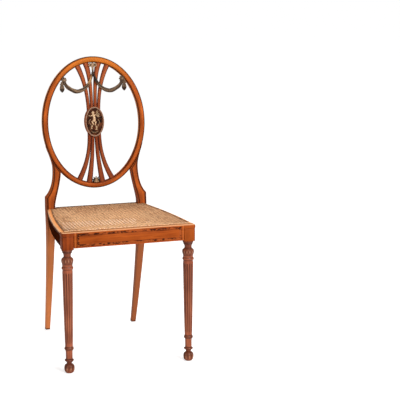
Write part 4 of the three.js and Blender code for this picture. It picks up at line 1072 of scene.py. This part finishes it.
for lump in (
    (-3.6, 19.5, 3.3, 3.7, 0, 0.3),
    (-2.0, 13.2, 3.0, 4.4, 12),
    (-0.6, 7.0, 3.4, 4.2, 8),
    (-1.2, 2.2, 3.8, 3.0),
    (-4.6, -3.2, 1.9, 5.4, 28, 0.25),
    (-6.6, -10.8, 1.4, 4.6, -24, 0.35),
    (-7.6, -15.4, 2.3, 1.1, 20),
    (2.0, -3.6, 1.9, 5.6, -16, 0.3),
    (3.2, -12.4, 1.4, 5.0, 6, 0.45),
    (3.0, -17.6, 2.2, 1.1, -10),
    (-7.2, 13.4, 4.4, 1.2, 24, 0.3),
    (-12.2, 13.6, 2.6, 1.0, -34, 0.4),
    (2.6, 14.6, 4.2, 1.2, -20, 0.4),
    (7.2, 11.2, 2.8, 1.0, 40, 0.5),
):
    relief_lump(*lump)
for n in range(5):
    relief_lump(5.4 + 1.25 * n, 21.6 - 2.7 * n, 5.4 - 0.5 * n, 1.0, 62 - 12 * n, 0.9 - 0.15 * n)
for n in range(10):
    swing = n / 9
    curl = math.sin(5.5 * swing)
    relief_lump(8.2 + 3.0 * curl, 4.5 - 22 * swing, 1.4, 1.0, 90 * swing, 0.8)
    relief_lump(-10.5 - 2.2 * curl, 4.5 - 16 * swing, 1.2, 0.9, -90 * swing, 0.6)
for n in range(9):
    relief_lump(-7.2 + 1.8 * n, -23.6 + 0.14 * (n - 4) ** 2, 1.4, 0.8, 8 * (n - 4), 0.9)
# Painted shade on the relief where it comes close to the panel
figure_shade = figure.verts.layers.float.new("painted_shade")
for vert in figure.verts:
    off_panel = -(back_place.inverted() @ vert.co).y - 0.0026
    vert[figure_shade] = max(0.0, 1 - off_panel / 0.0012)
set_piece(figure, "medallion_relief", "painted_wood", cream_paint)

# The garland: a ribbon bow under the crest, two swags of twisted cloth hung from it to a
# rosette at each side, and a tassel under each. All are carved from wood and painted a grey
# green, with painted highlights on the high places and painted shade in the folds.
drab_paint, tree, shader = new_finish("drab paint with painted light and shade", 0.5, specular=0.3)
patches = noisy(tree, object_place(tree), 150, 5)
x, _, z = object_axes(tree)
aloft = band_mask(tree, z, 0.866, 0.018, 0.006)
knotted = times(tree, band_mask(tree, x, 0, 0.0062, 0.001), ramped(tree, z, 0.893, 0.888))
colour = layered(
    tree,
    mixed_tone(tree, patches, tone(80, 60, 42), tone(146, 116, 86)),
    # Painted highlights on the high places and painted shade in the folds
    (marked(tree, "painted_highlight"), 0.65, (216, 180, 142)),
    (marked(tree, "painted_shade"), 0.9, (24, 16, 12)),
    (times(tree, aloft, band_mask(tree, x, -0.014, 0.0105, 0.002)), 0.55, (226, 166, 104)),
    (times(tree, aloft, band_mask(tree, x, 0.016, 0.014, 0.003)), 0.75, (30, 24, 20)),
    (ramped(tree, z, 0.890, 0.897), 0.3, (176, 134, 98)),
    # A painted shadow of the crest along the top of the bow
    (ramped(tree, z, 0.9105, 0.9145), 0.9, (84, 46, 24)),
    (times(tree, knotted, ramped(tree, z, 0.845, 0.855)), 0.85, (40, 24, 18)),
    (ramped(tree, worked(tree, "ABSOLUTE", x), 0.086, 0.098), 0.5, (58, 46, 38)),
    (ramped(tree, x, 0.01, 0.04), 0.32, (56, 34, 22)),
)
dressed(tree, shader, colour, patches, 0.25, 0.0005)


def shade_folds(bm, rate):
    """Marks each point of a carved shape with painted shade or a painted highlight by a share
    worked out for it.
    """
    folds = bm.verts.layers.float.new("painted_shade")
    highs = bm.verts.layers.float.new("painted_highlight")
    for vert in bm.verts:
        share = rate(vert)
        vert[folds] = max(0.0, min(1.0, -share))
        vert[highs] = max(0.0, min(1.0, share))


def on_back(x, depth, z):
    return back_place @ Matrix.Translation((x, depth, z))


opening_top = inner_centre + inner_half.y
knot_z = opening_top - 0.0326
bow_z = opening_top - 0.0076
rosette_x = inner_half.x - 0.0562
rosette_z = inner_centre + inner_half.y * math.sqrt(1 - (rosette_x / inner_half.x) ** 2) - 0.0096
# How far the swag has come towards the rosette, and what share of its full depth it hangs
swag_shares = (
    (0, 0),
    (0.06, 0.29),
    (0.134, 0.59),
    (0.255, 0.862),
    (0.408, 1),
    (0.592, 0.979),
    (0.796, 0.708),
    (0.93, 0.424),
    (1, 0.104),
)
swag_places = [(x * rosette_x, knot_z + (rosette_z - knot_z) * x - 0.048 * sag) for x, sag in swag_shares]
swag_line = smooth_line(swag_places, 12)
belly = [Vector(pair) for pair in ((0.52, 0), (0.7, 0.25), (0.9, 0.45), (1, 0.65), (0.9, 0.85), (0.65, 1))]
folds_round = 3
sides = 36
swag_section = []
for n in range(sides):
    turn = 2 * math.pi * n / sides
    reach = 0.7 + 0.3 * abs(math.cos(folds_round * turn / 2)) ** 0.6
    swag_section.append((reach * math.cos(turn), reach * math.sin(turn)))
swag_steps = []
run = 0.0
total = sum((b - a).length for a, b in zip(swag_line, swag_line[1:]))
for n, place in enumerate(swag_line):
    if n:
        run += (place - swag_line[n - 1]).length
    share = run / total
    radius = 0.0073 * read_off(belly, share) * (1 + 0.025 * math.sin(share * 40))
    twist = Matrix.Rotation(2.6 + share * 1.1 * math.pi, 4, "Z")
    swag_steps.append(
        across_line(swag_line, n, 0.0032 - radius) @ twist @ Matrix.Diagonal((radius, radius, 1, 1))
    )
swag_bm = swept(swag_section, swag_steps)
swag_points = swag_bm.verts.layers.int["point"]
swag_rings = swag_bm.verts.layers.int["ring"]


def swag_light(vert):
    """Painted highlights on the strands' crowns, painted shade in the grooves and along both
    outlines.
    """
    crown = abs(math.cos(folds_round * math.pi * vert[swag_points] / sides)) ** 0.6
    step = swag_steps[vert[swag_rings]]
    height_off = (back_place.inverted() @ vert.co).y - (back_place.inverted() @ step.translation).y
    outline = 1 - min(1.0, max(0.0, -height_off / step.to_scale().x))
    return 1.6 * crown - 0.1 - 2.4 * max(0.0, outline - 0.4)


shade_folds(swag_bm, swag_light)
set_pair(swag_bm, "swag_carved", "painted_wood", drab_paint, "swag")

rosette = bmesh.new()
rounded(rosette, on_back(rosette_x, -0.0045, rosette_z), (0.003, 0.0022, 0.003))
petal_rings = ((8, 0.0066, 0.0037, -0.0004), (6, 0.0038, 0.0028, -0.0024))
for ring, (count, reach, size, depth) in enumerate(petal_rings):
    for n in range(count):
        turn = 2 * math.pi * (n + 0.5 * ring) / count
        place = on_back(rosette_x + reach * math.cos(turn), depth, rosette_z + reach * math.sin(turn))
        rounded(rosette, place @ Matrix.Rotation(-turn, 4, "Y"), (size, 0.0026, size * 0.72))
bmesh.ops.create_cone(
    rosette,
    cap_ends=True,
    segments=24,
    radius1=0.0068,
    radius2=0.0068,
    depth=0.0045,
    matrix=on_back(rosette_x, 0.0012, rosette_z) @ Matrix.Rotation(math.pi / 2, 4, "X"),
)
rosette_middle = on_back(rosette_x, -0.002, rosette_z).translation
# Painted highlights on the petals that stand forward, painted shade on those set back
shade_folds(rosette, lambda vert: ((rosette_middle.y - vert.co.y) / 0.0035 - 0.1))
set_pair(rosette, "rosette_carved", "painted_wood", drab_paint, "rosette")

tassel_profile = [
    (0.5, -0.12),
    (0.55, 0.04),
    (0.8, 0.1),
    (0.82, 0.18),
    (0.62, 0.24),
    (0.78, 0.32),
    (0.94, 0.48),
    (1, 0.64),
    (0.8, 0.8),
    (0.42, 0.92),
    (0.08, 1),
]
tassel_top = rosette_z - 0.0095
skirt_top, tip_top = tassel_top - 0.008, tassel_top - 0.019
tassel_radius, tassel_length, threads = 0.0082, 0.031, 10
tassel_line = [
    (tassel_radius * r, tassel_top - tassel_length * down) for r, down in smooth_line(tassel_profile, 3)
]
tassel_line = [(0, tassel_line[0][1])] + tassel_line + [(0, tassel_line[-1][1])]
tassel_bm = turned(tassel_line, 48)


def thread_wave(vert):
    """1 on the crown of each of the threads and -1 between them."""
    return math.cos(threads * math.atan2(vert.co.y, vert.co.x))


for vert in tassel_bm.verts:
    if vert.co.z < skirt_top:
        drawn_in = 0.82 + 0.18 * (0.5 + 0.5 * thread_wave(vert))
        vert.co.x *= drawn_in
        vert.co.y *= drawn_in


def tassel_light(vert):
    """Plain on the knot, painted highlights on the threads of the skirt, and painted shade between
    them and all over its tip.
    """
    if vert.co.z > skirt_top:
        return 0.2
    return 1.5 * thread_wave(vert) - (1.6 if vert.co.z < tip_top else -0.1)


shade_folds(tassel_bm, tassel_light)
bmesh.ops.scale(tassel_bm, vec=(1, 0.7, 1), verts=tassel_bm.verts)
bmesh.ops.transform(tassel_bm, matrix=on_back(rosette_x + 0.007, -0.001, 0), verts=tassel_bm.verts)
set_pair(tassel_bm, "tassel_carved", "painted_wood", drab_paint, "tassel")

bow = bmesh.new()
loop_middle = 0.0066
bow_loop = []
for n in range(25):
    cos, sin = math.cos(2 * math.pi * n / 24), math.sin(2 * math.pi * n / 24)
    bow_loop.append((loop_middle + 0.0054 * cos, bow_z + (0.0046 + 0.001 * cos) * sin))
bow_tail = [(0.0006, knot_z + 0.0245), (0.0022, knot_z + 0.018), (0.0012, knot_z + 0.010), (0.0006, knot_z)]
strap = [(-0.5, -0.5), (0.5, -0.5), (0.5, 0.5), (-0.5, 0.5)]


def add_ribbon(places, width, thick, depth):
    """Adds to the bow a flat ribbon that stands on edge along a line of (x, height) places."""
    size = Matrix.Diagonal((thick, width, 1, 1))
    ribbon = swept(strap, [across_line(places, n, depth) @ size for n in range(len(places))])
    mesh = bpy.data.meshes.new("ribbon")
    ribbon.to_mesh(mesh)
    ribbon.free()
    bow.from_mesh(mesh)
    bpy.data.meshes.remove(mesh)


for side in (1, -1):
    add_ribbon([(side * x, z) for x, z in bow_loop], 0.0062, 0.0034, 0.0002)
    rounded(bow, on_back(side * loop_middle, 0.0026, bow_z), (0.0054, 0.0016, 0.0046))
    add_ribbon([(side * x, z) for x, z in bow_tail], 0.0038, 0.0030, 0.0005)
for z, r in ((bow_z, 0.0038), (knot_z, 0.0046)):
    rounded(bow, on_back(0, -0.0004, z), (r, r * 0.95, r * 0.8))
add_ribbon([(0, bow_z), (0, opening_top + 0.0015)], 0.006, 0.005, 0.0005)
bow_middle = on_back(0, 0.0, bow_z)


def bow_light(vert):
    """Painted shade inside the two loops, painted highlights along their front edges."""
    local = bow_middle.inverted() @ vert.co
    inside = 1 - math.hypot((abs(local.x) - loop_middle) / 0.0050, local.z / 0.0044)
    return (-1.0 if inside > 0 and local.y > 0.0 else 0.35) + 0.9 * noise.noise(vert.co * 210)


shade_folds(bow, bow_light)
set_piece(bow, "ribbon_bow_carved", "painted_wood", drab_paint, "ribbon_bow")

shell_bm = bmesh.new()
shell_base = inner_centre - inner_half.y
ribs = 7
for n in range(ribs):
    turn = math.pi * (n + 0.5) / ribs
    half_rib = (0.0092 + 0.0060 * math.sin(turn)) * 0.62
    place = (
        on_back(0, 0.0045 - 0.0008 * math.sin(turn), shell_base + 0.001)
        @ Matrix.Rotation(-turn, 4, "Y")
        @ Matrix.Translation((half_rib + 0.001, 0, 0))
    )
    rounded(shell_bm, place, (half_rib, 0.0052, 0.0028))
rounded(shell_bm, on_back(0, 0.002, shell_base + 0.002), (0.0045, 0.0042, 0.0032))
shell_middle = on_back(0, 0.0, shell_base).translation


def shell_light(vert):
    """A painted highlight towards the middle rib, painted shade towards the outer ones, and an even
    painted highlight on the knob that the ribs spring from.
    """
    is_knob = (vert.co - shell_middle).length <= 0.0085
    return 0.5 if is_knob else 0.9 - 2.4 * abs(vert.co.x) / 0.0105


shade_folds(shell_bm, shell_light)
set_piece(shell_bm, "foot_shell_carved", "painted_wood", drab_paint, "foot_shell")

# The caned seat: split cane laced through holes round the frame in six ways, a pair of
# strands front to back, a pair side to side, and one along each diagonal, which leave
# eight-sided holes 11 mm apart. It has sunk a little in the middle.
cane_straw, tree, shader = new_finish("split cane", 0.6, specular=0.15)
place = object_place(tree)
x, y, _ = object_axes(tree)
specks = noisy(tree, place, (190, 36, 60), 2, turn=0.18)
colour = mixed_tone(tree, noisy(tree, place, 14, 3), tone(214, 156, 108), tone(248, 202, 154))
colour = layered(tree, colour, (ramped(tree, specks, 0.52, 0.72), 0.6, (126, 76, 44)))
for corner, reach, share in (((-0.19, -0.235, 0.44), 0.06, 0.6), ((0.14, 0.13, 0.44), 0.12, 0.3)):
    away = wired(tree, "ShaderNodeVectorMath", {0: place, 1: corner}, operation="DISTANCE").outputs["Value"]
    colour = layered(tree, colour, (ramped(tree, away, reach, 0.0), share, (96, 62, 44)))
for value, low, high, share in ((y, 0.02, 0.15, 0.3), (x, 0.06, 0.2, 0.35), (x, -0.12, -0.2, 0.3)):
    colour = layered(tree, colour, (ramped(tree, value, low, high), share, (132, 88, 60)))
# Painted shade round the holes of the weave, on a net of the lacing's own pitch
pitch = 0.0111
cane_front, cane_back = -0.245, 0.15
hole_rows = []
for value, start in ((x, 0.5), (y, 0.5 - cane_front / pitch)):
    cells = worked(tree, "MULTIPLY_ADD", value, 1 / pitch, start + 40)
    hole_rows.append(band_mask(tree, worked(tree, "FRACT", cells), 0.5, 0.27, 0.12))
colour = layered(tree, colour, (times(tree, *hole_rows), 0.8, (112, 68, 42)))
dressed(tree, shader, colour, specks, 0.2, 0.0003)

cane_top = seat_height + clearance + 0.0016
post_line_y, post_line_x = 0.1305, 0.141


def cane_half(y):
    return seat_half(y) - 0.011 if y < post_line_y else post_line_x


def cane_sink(x, y):
    """How far the cane has sunk: nothing at the frame, 5 mm in the middle."""
    side = cane_half(min(y, post_line_y - 0.0003)) - abs(x)
    t = (min(side, y - cane_front, cane_back - y) - 0.012) / 0.075
    t = max(0.0, min(1.0, t))
    return 0.005 * t * t * (3 - 2 * t)


cane_inset = 0.0035
pair_half = 0.0018
strands = []


def laced(a, b, level, step):
    """One strand from hole to hole, weaving up and down as it goes."""
    a, b = Vector(a), Vector(b)
    count = max(2, round((b - a).length / step))
    places = []
    for n in range(count + 1):
        p = a.lerp(b, n / count)
        weave = 0.00012 * (1 if n % 2 else -1)
        places.append((p.x, p.y, cane_top - 0.00122 + level + weave - cane_sink(p.x, p.y)))
    strands.append(places)


def y_range(x):
    """Front and back end of a strand that runs front to back at x."""
    low, high = cane_front + cane_inset, cane_back - cane_inset
    if abs(x) > cane_half(post_line_y + 0.001) - cane_inset:
        high = post_line_y - cane_inset
    while abs(x) > cane_half(high) - cane_inset and high > low:
        high -= 0.001
    return low, high


half_count = int((cane_half(cane_front) - cane_inset) / pitch)
for n in range(-half_count, half_count + 1):
    for x in (n * pitch - pair_half, n * pitch + pair_half):
        low, high = y_range(x)
        if high - low > pitch:
            laced((x, low), (x, high), 0.0, pitch / 2)
row_count = int((cane_back - cane_front) / pitch)
for n in range(1, row_count):
    for y in (cane_front + n * pitch - pair_half, cane_front + n * pitch + pair_half):
        reach = cane_half(y) - cane_inset
        laced((-reach, y), (reach, y), 0.0004, pitch / 2)


def inside_cane(x, y):
    return (
        cane_front + cane_inset <= y <= cane_back - cane_inset
        and abs(x) <= cane_half(y) - cane_inset
        and (y < post_line_y - cane_inset or abs(x) <= post_line_x - cane_inset)
    )


# Each diagonal is walked in steps of a millimetre to find where it enters and leaves the cane
for way in (1, -1):
    for n in range(-70, 71):
        start, end = None, None
        for k in range(-400, 401):
            x = way * k * 0.001
            y = cane_front + (n + 0.5) * pitch + k * 0.001
            if inside_cane(x, y):
                start = start or (x, y)
                end = (x, y)
            elif end:
                break
        if end and math.dist(start, end) > pitch:
            laced(start, end, 0.0007 + 0.0001 * way, pitch * math.sqrt(2) / 2)

lacing = bpy.data.curves.new("lacing", "CURVE")
lacing.dimensions = "3D"
lacing.twist_mode = "Z_UP"
blade = bpy.data.curves.new("strand_section", "CURVE")
blade.dimensions = "2D"
blade_half, blade_flat, blade_thick = 0.0018, 0.0011, 0.0003
blade_top = [(-blade_flat, blade_thick, 0), (blade_flat, blade_thick, 0)]
blade_sole = [(blade_flat, -blade_thick, 0), (-blade_flat, -blade_thick, 0)]


def add_line(curve, places):
    """A run of straight pieces through some places, added to a curve."""
    line = curve.splines.new("POLY")
    line.points.add(len(places) - 1)
    for point, place in zip(line.points, places):
        point.co = (*place, 1)
    return line


blade_line = add_line(blade, [(-blade_half, 0, 0), *blade_top, (blade_half, 0, 0), *blade_sole])
blade_line.use_cyclic_u = True
blade_object = placed("strand_section", blade)
lacing.bevel_mode = "OBJECT"
lacing.bevel_object = blade_object
lacing.use_fill_caps = True
for places in strands:
    add_line(lacing, places)
lacing_object = placed("lacing", lacing)
woven = bpy.data.meshes.new_from_object(lacing_object.evaluated_get(bpy.context.evaluated_depsgraph_get()))
cane_bm = bmesh.new()
cane_bm.from_mesh(woven)
for spent in (lacing_object, blade_object):
    bpy.data.objects.remove(spent)
set_piece(cane_bm, "cane_seat_woven", "cane", cane_straw, "cane_seat")

# The binding: a wider strip of cane laid over the holes all round, tied down by a loop of
# fine cane at every hole. It is darker than the weave along the sides, where dirt has gathered,
# and darker still at the back.
binding_straw, tree, shader = new_finish("bound cane", 0.45, coat=0.1)
y = object_axes(tree)[1]
patches = noisy(tree, object_place(tree), 90, 4)
grime = ramped(tree, patches, 0.4, 0.6)
clean = mixed_tone(tree, grime, tone(210, 152, 104), tone(240, 192, 142))
side_and_back_tones = mixed_tone(tree, grime, tone(66, 40, 24), tone(190, 138, 92))
side_and_back_tones = layered(tree, side_and_back_tones, (ramped(tree, y, 0.141, 0.144), 0.7, (62, 36, 20)))
colour = mixed_tone(tree, ramped(tree, y, -0.2405, -0.236), clean, side_and_back_tones)
dressed(tree, shader, colour, patches, 0.3, 0.0004)
binding_base = cane_top + clearance
binding_section = [(-0.0025, 0), (-0.0021, 0.0008), (-0.001, 0.00115), (0, 0.00125)]
binding_section += [(-x, z) for x, z in reversed(binding_section[:-1])]


def bound(line, name, node, set_down=set_piece):
    """The strip along a line of (x, y) places, with a tie across it at every hole."""
    steps = []
    for n, (x, y) in enumerate(line):
        ahead = heading(line, n)
        steps.append(squared((ahead.y, -ahead.x, 0), (0, 0, 1), (ahead.x, ahead.y, 0), (x, y, binding_base)))
    strip = swept(binding_section, steps)
    knot = (
        Matrix.Translation((0, 0.0004, 0))
        @ Matrix.Rotation(0.35, 4, "Y")
        @ Matrix.Diagonal((0.0029, 0.0011, 0.0011, 1))
    )
    walked = pitch / 2
    for n in range(1, len(line)):
        walked += math.dist(line[n], line[n - 1])
        if walked >= pitch:
            walked -= pitch
            bmesh.ops.create_uvsphere(strip, u_segments=12, v_segments=8, radius=1, matrix=steps[n] @ knot)
    set_down(strip, name, "cane", binding_straw, node)


def straight(reach, y, count):
    return [(x, y) for x in evenly(-reach, reach, count)]


front_y, back_y = cane_front + cane_inset, cane_back - cane_inset
bound(straight(cane_half(front_y) - 0.001, front_y, 160), "front_binding_laced", "front_cane_binding")
bound(straight(post_line_x - cane_inset, back_y, 120), "back_binding_laced", "back_cane_binding")
side_line = [(cane_half(y) - cane_inset, y) for y in evenly(front_y + 0.0028, post_line_y - clearance, 140)]
bound(side_line, "side_binding_laced", "side_cane_binding", set_pair)
